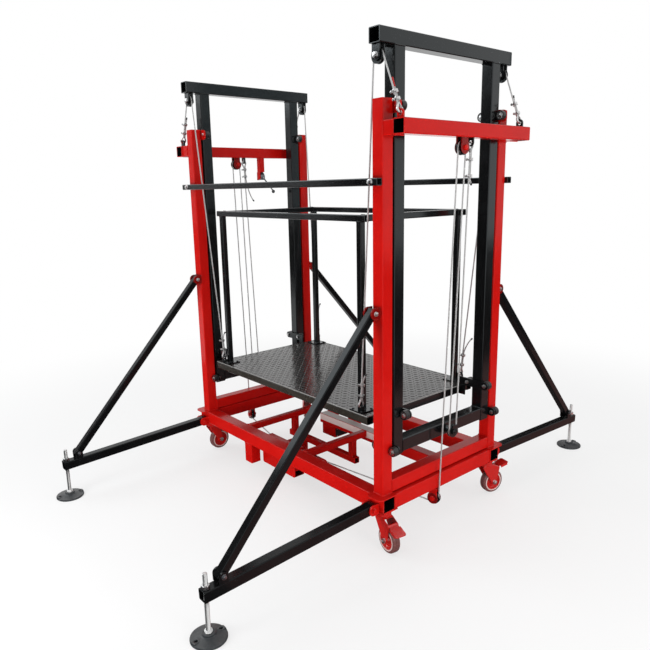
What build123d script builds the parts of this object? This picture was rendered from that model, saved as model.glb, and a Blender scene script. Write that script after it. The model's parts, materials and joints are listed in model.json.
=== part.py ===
from build123d import *
import os
from math import acos, atan2, cos, degrees, hypot, pi, radians, sin, sqrt

# Electric scaffold lift: two telescopic masts on a wheeled base raise a guarded deck.
# X runs along the deck, Y across it (front is -Y), Z up. The origin is on the floor under the centre.

# Tube sections
base_tube = 60.0
mast_tube = 50.0
arm_tube = 38.0
brace_tube = 30.0
strut_tube = 30.0
guard_tube = 25.0
tie_tube = 25.0
deck_tube = 32.0
tube_wall = 3.0
tube_corner = 4.0

# Plates, bolts and fits
plate = 6.0
thin_plate = 4.0
bolt_radius = 6.0
head_height = 6.0
head_ratio = 1.75
fit_play = 0.05
side_play = 0.5
face_play = 0.3

# Base frame
base_length = 1340.0
base_width = 722.0
base_underside = 165.0
left_strut_x = -305.0
right_strut_x = 133.0
hanger_y = -19.0
hanger_drop = 75.0
hanger_overhang = 15.0
spine_y = 82.0
spine_left = -190.0
stub_x = -232.0
stub_width = 57.0
stub_depth = 51.0
stub_drop = 93.0

# Fixed and sliding masts
mast_x = 631.0
outer_mast_y = 325.0
mast_play = 8.0
mast_overlap = 505.0
crossbeam_drop = 95.0
crossbeam_offset = 100.0
crossbeam_length = 710.0
inner_mast_lift = 141.0
inner_mast_extra = 25.0
top_beam_length = 726.0
lower_bar_height = 30.0
foot_plate_width = 78.0
foot_plate_reach = 27.0
foot_plate_round = 24.0
tie_height = 1138.5
tie_overhang = 12.0
front_tie_shift = -16.0
front_bolt_shift = -10.0

# Lift travel of the sliding masts; the deck travels twice as far
mast_travel = 900.0

# Deck and guard
deck_length = 1088.0
deck_width = 640.0
deck_height = 279.0
deck_plate = 4.0
deck_bays = 4
guard_height = 749.0
post_inset_x = 66.0
post_inset_y = 37.0
post_foot = 70.0
post_foot_plate = 5.0
guard_overhang = 32.0
arm_half_height = 17.0
arm_root = 30.0

# Guide rollers
roller_radius = 18.0
roller_chamfer = 1.0
roller_play = 0.5
axle_radius = 5.0
collar_radius = 8.0
axle_cap = 1.5
deck_roller_width = 20.0
guide_roller_width = 20.0
foot_roller_width = 20.0
narrow_spacer = 3.0
wide_spacer = 4.0
guide_roller_drop = 24.0
foot_roller_height = 31.0
deck_roller_rise = 24.0
guide_plate_height = 44.0
foot_roller_plate_height = 36.0
roller_plate_round = 14.0
arm_gap = 2.0

# Wire rope and sheaves
rope_diameter = 6.0
rope_gap = 0.4
drum_rope_gap = 0.9
groove_play = 0.3
sheave_radius = 21.0
sheave_lip = 5.0
groove_flare = 1.25
sheave_width = 14.0
cheek_play = 1.5
cheek_plate = 5.0
cheek_half_width = 17.0
top_sheave_inset = 4.0
top_sheave_y = 340.0
top_sheave_drop = 35.0
anchor_x = 722.0
anchor_y = 335.0
lug_half_width = 14.0
lug_rise = 16.0
lug_hole = 8.0
eye_radius = 11.0
deck_eye_x = 495.0
deck_eye_y = 306.0
hoist_y = -30.0
hoist_sheave_drop = 34.0
lower_sheave_y = 9.0
lower_sheave_offset = 59.0
dead_end_y = 18.0
rope_stand_off = 6.0
base_sheave_drop = 43.0
clip_length = 12.0
clip_margin = 3.0
clip_spots = (38.0, 64.0)
tail_length = 56.0

# Winch
drum_x = -72.0
drum_front = -244.0
drum_rear = -172.0
drum_drop = 50.0
drum_rope_radius = 30.0
drum_flange_radius = 42.0
drum_flange = 5.0
drum_shaft_radius = 10.0
shaft_socket = 27.0
drum_turns = 2.5
rope_pitch = 6.6
gap_points = 48
drum_rope_y = {"left": -188.0, "right": -216.0}
case_left = -196.0
case_right = 52.0
case_low = 68.0
case_high = 200.0
case_depth = 55.0
case_corner = 8.0
pocket_wall = 4.0
pocket_height = 28.0
pocket_depth = 60.0
bearing_plate = 8.0
bearing_half_width = 52.0
tie_bar_radius = 7.0
tie_bar_spread = 40.0
motor_radius = 40.0
motor_length = 130.0
motor_fin = 4.0
motor_fins = 20
fan_cover = 34.0
control_length = 100.0
control_width = 90.0
control_height = 52.0
control_left = -177.0
gland_radius = 9.0
gland_length = 14.0

# Outriggers and levelling feet
outrigger_x = 621.0
pivot_reach = 26.0
pivot_rise = 15.0
arm_tip_height = 153.0
arm_end_past_screw = 14.0
arm_heel = 14.0
ear_half_width = 21.0
screw_y = 1080.0
screw_radius = 8.0
screw_top = 225.0
nut_height = 13.0
nut_radius = 15.0
pad_radius = 59.0
pad_rim = 8.0
pad_crown = 14.0
pad_collar_radius = 21.0
pad_collar_top = 22.0
pad_nut_radius = 14.0
pad_nut_top = 36.0
pad_hole_radius = 6.0
pad_hole_reach = 44.0
pad_boss_radius = 10.0
pad_boss_top = 15.0
clevis_back = 55.0
clevis_rise = 23.0
clevis_half_width = 16.0
brace_heel = 12.0
brace_lug_height = 691.0
brace_lug_reach = 20.0

# Casters
caster_x = 632.0
caster_y = 322.0
caster_plate = 76.0
caster_plate_thick = 5.0
race_radius = 30.0
race_height = 8.0
kingpin_radius = 8.0
crown_height = 12.0
wheel_radius = 52.0
wheel_width = 32.0
wheel_round = 7.0
hub_radius = 38.0
hub_half_width = 18.0
boss_radius = 15.0
web_half_width = 9.0
trail = 37.0
fork_half_gap = 20.0
fork_plate = 4.0
fork_boss = 13.0
crown_front = 26.0
crown_rear = 34.0
fork_round = 10.0
race_chamfer = 3.0
pedal_pivot_u = 57.0
pedal_pivot_z = 116.0
pedal_pin_radius = 4.0
pedal_hub_radius = 8.0
pedal_neck = 16.0
pedal_length = 58.0
pedal_toe_half = 24.0
pedal_flange = 7.0
pedal_tilts = {"front_right": -22.0, "rear_right": 12.0}
caster_angles = {
    "front_right": -10.0,
    "rear_right": 75.0,
    "front_left": 90.0,
    "rear_left": 150.0,
}

# Limit switch
switch_y = 119.0
trip_gap = 4.0
switch_height = 42.0
switch_shaft_drop = 29.0
switch_width = 34.0
lever_shaft_radius = 4.0
lever_hub_radius = 8.0
lever_reach_y = 65.0
lever_reach_z = 74.0
lever_width = 10.0
lever_roller_radius = 9.0
lever_plate = 4.0
striker_width = 34.0

# Levels and centre lines that follow from the sizes above
base_top = base_underside + base_tube
base_half_x = base_length / 2
base_half_y = base_width / 2
rail_inner_y = base_half_y - base_tube
beam_inner_x = base_half_x - base_tube
strut_low = base_top - strut_tube
half_mast = mast_tube / 2
mast_in = mast_x - half_mast
mast_out = mast_x + half_mast
outer_mast_in = outer_mast_y - half_mast
outer_mast_out = outer_mast_y + half_mast
inner_mast_out = outer_mast_in - mast_play
inner_mast_in = inner_mast_out - mast_tube
mast_foot = base_top + thin_plate
outer_mast_length = mast_travel + mast_overlap
outer_mast_top = mast_foot + outer_mast_length
crossbeam_x = mast_x + crossbeam_offset
crossbeam_in = crossbeam_x - half_mast
crossbeam_mid = outer_mast_top - crossbeam_drop
crossbeam_low = crossbeam_mid - half_mast
crossbeam_high = crossbeam_mid + half_mast
inner_mast_foot = mast_foot + inner_mast_lift
inner_mast_length = outer_mast_length + inner_mast_extra
inner_mast_top = inner_mast_foot + inner_mast_length
lower_bar_mid = inner_mast_foot + lower_bar_height
lower_bar_low = lower_bar_mid - half_mast
lower_bar_high = lower_bar_mid + half_mast
tie_mid = mast_foot + tie_height
tie_low = tie_mid - tie_tube / 2
deck_top = base_top + deck_height
deck_low = deck_top - deck_plate
deck_half_x = deck_length / 2
deck_half_y = deck_width / 2
guard_top = deck_top + guard_height
post_x = deck_half_x - post_inset_x
post_y = deck_half_y - post_inset_y
outer_roller_x = mast_out + roller_play + roller_radius
inner_roller_x = mast_in - roller_play - roller_radius
roller_plate_half = outer_roller_x - mast_x + collar_radius + plate
guide_roller_z = outer_mast_top - guide_roller_drop
foot_roller_z = inner_mast_foot + foot_roller_height
deck_roller_z = deck_top + deck_roller_rise
arm_plate_out = inner_mast_in - arm_gap
arm_plate_in = arm_plate_out - plate
rope_radius = rope_diameter / 2
cheek_offset = sheave_width / 2 + cheek_play + cheek_plate / 2
top_sheave_x = mast_x - top_sheave_inset
top_sheave_z = inner_mast_top - top_sheave_drop
hoist_sheave_z = crossbeam_low - hoist_sheave_drop
lower_sheave_x = mast_x + lower_sheave_offset
lower_sheave_z = lower_bar_mid
base_sheave_z = base_underside - base_sheave_drop
drum_z = base_underside - drum_drop
case_front = -rail_inner_y
case_rear = case_front + case_depth
pivot_y = base_half_y + pivot_reach
pivot_z = base_underside + pivot_rise
brace_top_y = outer_mast_out + brace_lug_reach
brace_top_z = mast_foot + brace_lug_height
arm_slope = atan2(pivot_z - arm_tip_height, screw_y - pivot_y)
fork_top = base_underside - caster_plate_thick - race_height - face_play
fork_legs_top = fork_top - crown_height
lever_z = lower_bar_high + mast_travel + trip_gap + lever_roller_radius + lever_reach_z
switch_top = lever_z + switch_shaft_drop
switch_face_x = crossbeam_in

sides = {"left": -1, "right": 1}
corners = {"front_right": (1, -1), "rear_right": (1, 1), "front_left": (-1, -1), "rear_left": (-1, 1)}


def save(node, pieces):
    solids = [solid for piece in pieces for solid in piece.solids()]
    export_step(Compound(children=solids), f"parts/{node}.step")


def mirrored(pieces, plane):
    return [mirror(piece, about=plane) for piece in pieces]


def front_and_rear(pieces):
    return pieces + mirrored(pieces, Plane.XZ)


def on_side(pieces, side):
    return pieces if side > 0 else mirrored(pieces, Plane.YZ)


def block(low, high):
    size = [b - a for a, b in zip(low, high)]
    middle = [(a + b) / 2 for a, b in zip(low, high)]
    return Pos(*middle) * Box(*size)


def tube(low, high, along):
    """Tube between two corners, with rounded long edges and both ends open."""
    skip = "XYZ".index(along)
    outer = block(low, high)
    outer = fillet(outer.edges().filter_by(getattr(Axis, along)), tube_corner)
    inset = [0 if i == skip else tube_wall for i in range(3)]
    inner = block([a + d for a, d in zip(low, inset)], [b - d for b, d in zip(high, inset)])
    return outer - inner


def rod(start, direction, length, radius):
    seat = Plane(origin=start, z_dir=direction)
    return seat * Cylinder(radius, length, align=(Align.CENTER, Align.CENTER, Align.MIN))


def hexagon(start, direction, height, radius):
    return extrude(Plane(origin=start, z_dir=direction) * RegularPolygon(radius, 6), height)


def bolt(start, direction, grip, radius=bolt_radius):
    """Hex bolt with its nut: the head sits before start, the nut after the grip."""
    way = Vector(*direction)
    start = Vector(*start)
    head = hexagon(start - way * head_height, way, head_height, radius * head_ratio)
    nut = hexagon(start + way * grip, way, head_height, radius * head_ratio)
    return rod(start, way, grip, radius) + head + nut


def cheek(half_width, rise, thickness, hole):
    """Plate across Y with a round foot about the origin and a straight edge at height rise."""
    face = Pos(0, rise / 2) * Rectangle(2 * half_width, rise) + Circle(half_width) - Circle(hole)
    return extrude(Plane.XZ * face, thickness / 2, both=True)


def sheave():
    """Rope sheave about Y, with a round groove that opens out to the rim."""
    half = sheave_width / 2
    rim = sheave_radius + sheave_lip
    groove = rope_radius + groove_play
    mouth = groove + groove_flare
    bore = bolt_radius + fit_play
    floor = ThreePointArc((sheave_radius, -groove), (sheave_radius - groove, 0), (sheave_radius, groove))
    lower = Polyline((bore, -half), (rim, -half), (rim, -mouth), (sheave_radius, -groove))
    upper = Polyline((sheave_radius, groove), (rim, mouth), (rim, half), (bore, half), (bore, -half))
    profile = make_face(lower.edges() + floor.edges() + upper.edges())
    return revolve(profile, Axis.Y)


def roller(width):
    """Guide roller about Y with broken edges, from the origin towards +Y."""
    start = Vector(0, 0, 0)
    body = rod(start, (0, 1, 0), width, roller_radius)
    body = chamfer(body.edges().filter_by(GeomType.CIRCLE), roller_chamfer)
    return body - rod(start, (0, 1, 0), width, axle_radius + fit_play)


def roller_axle(grip, spacer, width):
    """Stub axle along +Y from the outside of its plate: head, spacer, shank and end cap."""
    way = (0, 1, 0)
    collar_end = grip + spacer - face_play
    cap_start = grip + spacer + width + face_play
    axle = rod((0, 0, 0), way, cap_start + axle_cap, axle_radius)
    axle += hexagon((0, -head_height, 0), way, head_height, axle_radius * head_ratio)
    axle += rod((0, grip, 0), way, collar_end - grip, collar_radius)
    axle += rod((0, cap_start, 0), way, axle_cap, collar_radius)
    return axle


def roller_plate(height, y_low, z):
    """Plate across Y that carries two roller axles, with rounded corners."""
    body = block((mast_x - roller_plate_half, y_low, z - height / 2),
                 (mast_x + roller_plate_half, y_low + plate, z + height / 2))
    body = fillet(body.edges().filter_by(Axis.Y), roller_plate_round)
    for x in (inner_roller_x, outer_roller_x):
        body -= rod((x, y_low, z), (0, 1, 0), plate, axle_radius + fit_play)
    return body


def deck_arm():
    """Roller arm across Y: a deep root on the deck's end, a slim arm, a round end about the outer axle."""
    root_low = deck_low - deck_tube
    arm_high = deck_roller_z + arm_half_height
    face = Pos((deck_half_x + outer_roller_x) / 2, deck_roller_z) * Rectangle(
        outer_roller_x - deck_half_x, 2 * arm_half_height)
    face += Pos(outer_roller_x, deck_roller_z) * Circle(arm_half_height)
    face += Pos(deck_half_x + arm_root / 2, (root_low + arm_high) / 2) * Rectangle(arm_root, arm_high - root_low)
    for x in (inner_roller_x, outer_roller_x):
        face -= Pos(x, deck_roller_z) * Circle(axle_radius + fit_play)
    return Pos(0, arm_plate_out, 0) * extrude(Plane.XZ * face, plate)


def rope_run(start, end, end_gap=rope_gap):
    """Straight taut rope between two tangent points, short of both by a gap."""
    start = Vector(*start)
    way = (Vector(*end) - start).normalized()
    length = (Vector(*end) - start).length - rope_gap - end_gap
    return rod(start + way * rope_gap, way, length, rope_radius)


def rope_arc(centre, across, up, start, end, radius=sheave_radius):
    """Rope round a sheave, from one angle to another in the plane of across and up."""
    def at(angle):
        turn = radians(angle)
        return Vector(*centre) + Vector(*across) * radius * cos(turn) + Vector(*up) * radius * sin(turn)

    def heading(angle):
        turn = radians(angle)
        return Vector(*up) * cos(turn) - Vector(*across) * sin(turn)

    path = ThreePointArc(at(start), at((start + end) / 2), at(end))
    return sweep(Plane(origin=at(start), z_dir=heading(start)) * Circle(rope_radius), path)


def rope_eye(hole, towards):
    """Rope loop through a lug hole that lies along Y, with its tail and two clips."""
    hole = Vector(*hole)
    way = (Vector(*towards) - hole).normalized()
    across = Vector(0, 1, 0)
    across = (across - way * across.dot(way)).normalized()
    loop = Plane(origin=hole + way * eye_radius, z_dir=way.cross(across)) * Torus(eye_radius, rope_radius)
    tail_offset = rope_diameter + groove_play
    reach = 2 * eye_radius + rope_radius + face_play
    tail_start = hole + way * reach + across * tail_offset
    pieces = [loop, rod(tail_start, way, tail_length, rope_radius)]
    for spot in clip_spots:
        seat = Plane(origin=hole + way * spot, x_dir=across, z_dir=way)
        width = tail_offset + rope_diameter + 2 * clip_margin
        saddle = Pos(tail_offset / 2, 0, 0) * Box(width, rope_diameter + 2 * clip_margin, clip_length)
        for offset, play in ((0, groove_play), (tail_offset, fit_play)):
            saddle -= Pos(offset, 0, 0) * Cylinder(rope_radius + play, clip_length)
        pieces.append(seat * saddle)
    return pieces, hole + way * reach


def tangent_angle(point, centre, side):
    """Angle in the XZ plane where a line from a point touches the top sheave on one side."""
    dx = point[0] - centre[0]
    dz = point[2] - centre[2]
    return degrees(atan2(dz, dx)) + side * degrees(acos(sheave_radius / hypot(dx, dz)))


def biarc(a, heading_a, b, heading_b):
    """Two arcs from a to b that keep both headings."""
    gap = b - a
    total = heading_a + heading_b
    open_part = 2 * (1 - heading_a.dot(heading_b))
    along = gap.dot(total)
    reach = (sqrt(along * along + open_part * gap.dot(gap)) - along) / open_part
    middle = (a + b) * 0.5 + (heading_a - heading_b) * (reach / 2)
    first = TangentArc(a, middle, tangent=heading_a)
    return [first, TangentArc(middle, b, tangent=first % 1)]


# Base frame: two long rails, two end beams, struts, the low hanger tube and the caster plates
def make_base_frame():
    strut = strut_tube / 2
    low = base_underside
    pieces = front_and_rear([
        tube((-base_half_x, rail_inner_y, low), (base_half_x, base_half_y, base_top), "X"),
        tube((stub_x - stub_width / 2, base_half_y - stub_depth, low - stub_drop),
             (stub_x + stub_width / 2, base_half_y, low), "Z"),
    ])
    for side in sides.values():
        pieces += on_side([
            tube((beam_inner_x, -rail_inner_y, low), (base_half_x, rail_inner_y, base_top), "Y"),
        ], side)
    spine_front = spine_y - half_mast
    spine_low = base_top - mast_tube
    pieces.append(tube((left_strut_x - strut, -rail_inner_y, strut_low),
                       (left_strut_x + strut, rail_inner_y, base_top), "Y"))
    pieces.append(tube((right_strut_x - strut, -rail_inner_y, strut_low),
                       (right_strut_x + strut, spine_front, base_top), "Y"))
    pieces.append(tube((spine_left, spine_front, spine_low),
                       (beam_inner_x, spine_y + half_mast, base_top), "X"))
    pieces.append(tube((spine_left, spine_y + half_mast, strut_low),
                       (spine_left + strut_tube, rail_inner_y, base_top), "Y"))
    hanger_low = strut_low - hanger_drop
    for x in (left_strut_x, right_strut_x):
        pieces.append(tube((x - strut, hanger_y - strut, hanger_low),
                           (x + strut, hanger_y + strut, strut_low), "Z"))
    pieces.append(tube((left_strut_x - strut - hanger_overhang, hanger_y - strut, hanger_low - strut_tube),
                       (right_strut_x + strut + hanger_overhang, hanger_y + strut, hanger_low), "X"))
    for side_x, side_y in corners.values():
        x = side_x * caster_x
        y = side_y * caster_y
        top = Pos(x, y, low - caster_plate_thick / 2) * Box(caster_plate, caster_plate, caster_plate_thick)
        top += rod((x, y, low - caster_plate_thick), (0, 0, -1), race_height, race_radius)
        top += rod((x, y, low - caster_plate_thick), (0, 0, -1), race_height + crown_height, kingpin_radius)
        pieces.append(top)
    return pieces


# Pulley under the end beam on one side: where its rope comes down, its centre and its heading
def base_sheave_place(side):
    drop_point = Vector(side * (base_half_x + rope_stand_off), hoist_y - sheave_radius, base_sheave_z)
    rope_y = drum_rope_y["left" if side < 0 else "right"]
    drum_point = Vector(drum_x, rope_y, drum_z + side * drum_rope_radius)
    heading = Vector(drum_point.X - drop_point.X, drum_point.Y - drop_point.Y, 0).normalized()
    return drop_point, drop_point + heading * sheave_radius, heading, drum_point


# Fixed mast: uprights, foot beam, crossbeam on stubs, roller plates, outrigger ears and rope lugs
def make_mast_frame(side):
    uprights = on_side(front_and_rear([
        tube((mast_in, outer_mast_in, mast_foot), (mast_out, outer_mast_out, outer_mast_top), "Z"),
    ]), side)
    for i, end in enumerate((1, -1)):
        uprights[i] -= rod((tie_bolt_x(side, end), end * outer_mast_out, tie_mid), (0, -end, 0), half_mast,
                           axle_radius + fit_play)
    pieces = front_and_rear([
        tube((mast_out, outer_mast_in, crossbeam_low), (crossbeam_in, outer_mast_out, crossbeam_high), "X"),
        roller_plate(guide_plate_height, outer_mast_in - plate, guide_roller_z),
        make_foot_plate(),
        Pos(anchor_x, anchor_y, crossbeam_high + lug_rise) * Rot(180, 0, 0)
        * cheek(lug_half_width, lug_rise, plate, lug_hole),
    ] + ear_pair(arm_tube, pivot_reach, pivot_y, pivot_z)
      + ear_pair(brace_tube, brace_lug_reach, brace_top_y, brace_top_z))
    half_beam = crossbeam_length / 2
    pieces.append(tube((mast_in, -outer_mast_in, mast_foot),
                       (mast_out, outer_mast_in, mast_foot + mast_tube), "Y"))
    pieces.append(tube((crossbeam_in, -half_beam, crossbeam_low),
                       (crossbeam_x + half_mast, half_beam, crossbeam_high), "Y"))
    for offset in (-cheek_offset, cheek_offset):
        pieces.append(Pos(crossbeam_x + offset, hoist_y, hoist_sheave_z) * Rot(0, 0, 90)
                      * cheek(cheek_half_width, hoist_sheave_drop, cheek_plate, bolt_radius + fit_play))
    pieces.append(Pos(crossbeam_x, dead_end_y, crossbeam_low - lug_rise)
                  * cheek(lug_half_width, lug_rise, plate, lug_hole))
    pieces = uprights + on_side(pieces, side)
    centre = base_sheave_place(side)[1]
    heading = base_sheave_place(side)[2]
    for offset in (-cheek_offset, cheek_offset):
        turned = Pos(centre.X, centre.Y, centre.Z) * Rot(0, 0, degrees(atan2(heading.Y, heading.X)))
        pieces.append(turned * Pos(0, offset, 0)
                      * cheek(cheek_half_width, base_sheave_drop, cheek_plate, bolt_radius + fit_play))
    if side < 0:
        post = strut_tube
        pieces.append(tube((-crossbeam_in - post, switch_y - post / 2, switch_top),
                           (-crossbeam_in, switch_y + post / 2, crossbeam_low), "Z"))
    return pieces


def make_foot_plate():
    reach = base_half_y + foot_plate_reach
    body = block((mast_in - thin_plate, outer_mast_in - thin_plate, base_top),
                 (mast_in - thin_plate + foot_plate_width, reach, mast_foot))
    outer_edges = body.edges().filter_by(Axis.Z).group_by(Axis.Y)[-1]
    return fillet(outer_edges, foot_plate_round)


def ear_pair(held_tube, reach, y, z):
    """Two plates, either side of a tube, that stand out along +Y from what carries them."""
    offset = held_tube / 2 + side_play + plate / 2
    ear = Rot(0, 0, 90) * Rot(0, -90, 0) * cheek(ear_half_width, reach, plate, bolt_radius + fit_play)
    return [Pos(outrigger_x + way * offset, y, z) * ear for way in (-1, 1)]


# Tie rails between the two fixed masts; the front one sits a little to the left
def tie_bolt_x(side, end):
    return side * mast_x + (front_bolt_shift if end < 0 else 0)


def make_tie_rails():
    half = mast_out + tie_overhang
    rail = tube((-half, outer_mast_out, tie_low), (half, outer_mast_out + tie_tube, tie_low + tie_tube), "X")
    rails = front_and_rear([rail])
    rails[1] = Pos(front_tie_shift, 0, 0) * rails[1]
    for i, end in enumerate((1, -1)):
        for side in sides.values():
            rails[i] -= rod((tie_bolt_x(side, end), end * outer_mast_out, tie_mid), (0, end, 0), tie_tube,
                            axle_radius + fit_play)
    return rails


# Outrigger arm: in its own frame the pivot is the origin and the arm runs along +Y
def arm_place():
    return Pos(outrigger_x, pivot_y, pivot_z) * Rot(-degrees(arm_slope), 0, 0)


def clevis_point():
    along = (screw_y - pivot_y) / cos(arm_slope) - clevis_back
    rise = arm_tube / 2 + clevis_rise
    y = pivot_y + along * cos(arm_slope) + rise * sin(arm_slope)
    z = pivot_z - along * sin(arm_slope) + rise * cos(arm_slope)
    return Vector(outrigger_x, y, z)


def make_outrigger():
    half = arm_tube / 2
    screw_along = (screw_y - pivot_y) / cos(arm_slope)
    arm = tube((-half, -arm_heel, -half), (half, screw_along + arm_end_past_screw, half), "Y")
    arm -= rod((-half, 0, 0), (1, 0, 0), arm_tube, bolt_radius + fit_play)
    arm = arm_place() * arm
    arm -= rod((outrigger_x, screw_y, 0), (0, 0, 1), pivot_z + arm_tube, screw_radius + side_play)
    offset = brace_tube / 2 + side_play + plate / 2
    clevis = cheek(clevis_half_width, clevis_rise, plate, bolt_radius + fit_play)
    clevis = Rot(0, 0, 90) * Rot(180, 0, 0) * clevis
    place = arm_place() * Pos(0, screw_along - clevis_back, half + clevis_rise)
    clevises = [place * Pos(way * offset, 0, 0) * clevis for way in (-1, 1)]
    low = clevis_point()
    high = Vector(outrigger_x, brace_top_y, brace_top_z)
    length = (high - low).length
    half = brace_tube / 2
    brace = tube((-half, -half, -brace_heel), (half, half, length + brace_heel), "Z")
    for spot in (0, length):
        brace -= rod((-half, 0, spot), (1, 0, 0), brace_tube, bolt_radius + fit_play)
    brace = Plane(origin=low, x_dir=(1, 0, 0), z_dir=high - low) * brace
    return [arm, brace] + clevises


def make_outriggers():
    pieces = front_and_rear(make_outrigger())
    return pieces + mirrored(pieces, Plane.YZ)


# Bolts, pins, axles, nuts and rope ends that stay with the base
def make_frame_fittings():
    across = (1, 0, 0)
    corner = []
    span = arm_tube + 2 * side_play + 2 * plate
    corner.append(bolt((outrigger_x - span / 2, pivot_y, pivot_z), across, span))
    span = brace_tube + 2 * side_play + 2 * plate
    for point in (clevis_point(), Vector(outrigger_x, brace_top_y, brace_top_z)):
        corner.append(bolt((outrigger_x - span / 2, point.Y, point.Z), across, span))
    half = arm_tube / 2 / cos(arm_slope) + nut_radius * sin(arm_slope)
    for way in (-1, 1):
        seat = (outrigger_x, screw_y, arm_tip_height + way * half)
        nut = hexagon(seat, (0, 0, way), nut_height, nut_radius)
        corner.append(nut - rod(seat, (0, 0, way), nut_height, screw_radius + fit_play))
    for x in (inner_roller_x, outer_roller_x):
        corner.append(Pos(x, outer_mast_in, guide_roller_z) * Rot(0, 0, 180)
                      * roller_axle(plate, narrow_spacer, guide_roller_width))
    pieces = front_and_rear(corner)
    pieces += mirrored(pieces, Plane.YZ)
    span = 2 * cheek_offset + cheek_plate
    for side in sides.values():
        pieces.append(bolt((side * crossbeam_x - span / 2, hoist_y, hoist_sheave_z), across, span))
        centre = base_sheave_place(side)[1]
        heading = base_sheave_place(side)[2]
        axle = Vector(-heading.Y, heading.X, 0)
        pieces.append(bolt(centre - axle * (span / 2), axle, span))
        pieces += dead_end(side)[0]
        for end in (-1, 1):
            pieces.append(bolt((tie_bolt_x(side, end), end * (outer_mast_out + tie_tube), tie_mid), (0, -end, 0),
                               tie_tube + tube_wall, axle_radius))
            pieces += anchor_end(side, end)[0]
    return pieces


# Rope ends: the eye in its lug, and the rope's way from there to its sheave
def hitched(hole, touch, side):
    """Eye pieces in a lug hole, and the two ends of the straight rope from there to a sheave."""
    pieces, start = rope_eye(hole, touch)
    ends = [Vector(side * x, y, z) for x, y, z in (start, Vector(*touch))]
    return [on_side(pieces, side)] + ends


def top_sheave_touch(hole, end, way):
    centre = (top_sheave_x, end * top_sheave_y, top_sheave_z)
    angle = radians(tangent_angle(hole, centre, way))
    return (centre[0] + sheave_radius * cos(angle), centre[1], centre[2] + sheave_radius * sin(angle))


def anchor_end(side, end):
    hole = (anchor_x, end * anchor_y, crossbeam_high + lug_rise)
    return hitched(hole, top_sheave_touch(hole, end, 1), side)


def deck_end(side, end):
    hole = (deck_eye_x, end * deck_eye_y, deck_top + post_foot_plate + lug_rise)
    return hitched(hole, top_sheave_touch(hole, end, -1), side)


def dead_end(side):
    hole = (crossbeam_x, dead_end_y, crossbeam_low - lug_rise)
    return hitched(hole, (lower_sheave_x, lower_sheave_y + sheave_radius, lower_sheave_z), side)


# Ropes
def make_hoist_rope_runs():
    pieces = []
    for side in sides.values():
        drop_point, centre, heading, drum_point = base_sheave_place(side)
        top = (side * crossbeam_x, hoist_y, hoist_sheave_z)
        bottom = centre - Vector(0, 0, sheave_radius)
        pieces.append(rope_arc(top, (0, 1, 0), (0, 0, 1), 0, 180))
        pieces.append(rope_run((top[0], hoist_y - sheave_radius, top[2]), drop_point))
        pieces.append(rope_arc(centre, heading, (0, 0, 1), 180, 270))
        pieces.append(rope_run(bottom, drum_point, drum_rope_gap))
    return pieces


def make_hoist_rope_falls():
    pieces = []
    for side in sides.values():
        low = (side * lower_sheave_x, lower_sheave_y - sheave_radius, lower_sheave_z)
        pieces.append(rope_run(low, (side * crossbeam_x, hoist_y + sheave_radius, hoist_sheave_z)))
        pieces.append(rope_run(dead_end(side)[2], dead_end(side)[1]))
    return pieces


def make_anchor_ropes():
    return [rope_run(*anchor_end(side, end)[1:]) for side in sides.values() for end in (-1, 1)]


def make_platform_ropes():
    return [rope_run(*deck_end(side, end)[1:]) for side in sides.values() for end in (-1, 1)]


def make_rope_arcs(side):
    pieces = []
    for end in (-1, 1):
        centre = (top_sheave_x, end * top_sheave_y, top_sheave_z)
        start = tangent_angle((anchor_x, 0, crossbeam_high + lug_rise), centre, 1)
        stop = tangent_angle((deck_eye_x, 0, deck_top + post_foot_plate + lug_rise), centre, -1) + 360
        pieces.append(rope_arc(centre, (1, 0, 0), (0, 0, 1), start, stop))
    low = (lower_sheave_x, lower_sheave_y, lower_sheave_z)
    pieces.append(rope_arc(low, (0, 1, 0), (0, 0, 1), 180, 360))
    return on_side(pieces, side)


# Sliding mast: uprights, top beam, lower bar, roller plates and sheave cheeks
def make_inner_mast(side):
    half_top = top_beam_length / 2
    pieces = front_and_rear([
        tube((mast_in, inner_mast_in, inner_mast_foot), (mast_out, inner_mast_out, inner_mast_top), "Z"),
        roller_plate(foot_roller_plate_height, inner_mast_out, foot_roller_z),
    ] + [
        Pos(top_sheave_x, top_sheave_y + offset, top_sheave_z)
        * cheek(cheek_half_width, top_sheave_drop, cheek_plate, bolt_radius + fit_play)
        for offset in (-cheek_offset, cheek_offset)
    ])
    pieces.append(tube((mast_in, -half_top, inner_mast_top),
                       (mast_out, half_top, inner_mast_top + mast_tube), "Y"))
    pieces.append(tube((mast_in, -inner_mast_in, lower_bar_low),
                       (mast_out, inner_mast_in, lower_bar_high), "Y"))
    boss_end = lower_sheave_x - sheave_width / 2 - cheek_play
    seat = (mast_out, lower_sheave_y, lower_sheave_z)
    boss = rod(seat, (1, 0, 0), boss_end - mast_out, boss_radius)
    pieces.append(boss - rod(seat, (1, 0, 0), boss_end - mast_out, bolt_radius + fit_play))
    keeper_x = lower_sheave_x + cheek_offset
    pieces.append(Pos(keeper_x, lower_sheave_y, lower_sheave_z) * Rot(0, 0, 90)
                  * cheek(boss_radius, half_mast, cheek_plate, bolt_radius + fit_play))
    pieces = on_side(pieces, side)
    if side < 0:
        lever_y = switch_y + lever_reach_y
        pieces.append(block((-crossbeam_in, lever_y - striker_width / 2, lower_bar_high - thin_plate),
                            (-mast_out, lever_y + striker_width / 2, lower_bar_high)))
    return pieces


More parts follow.
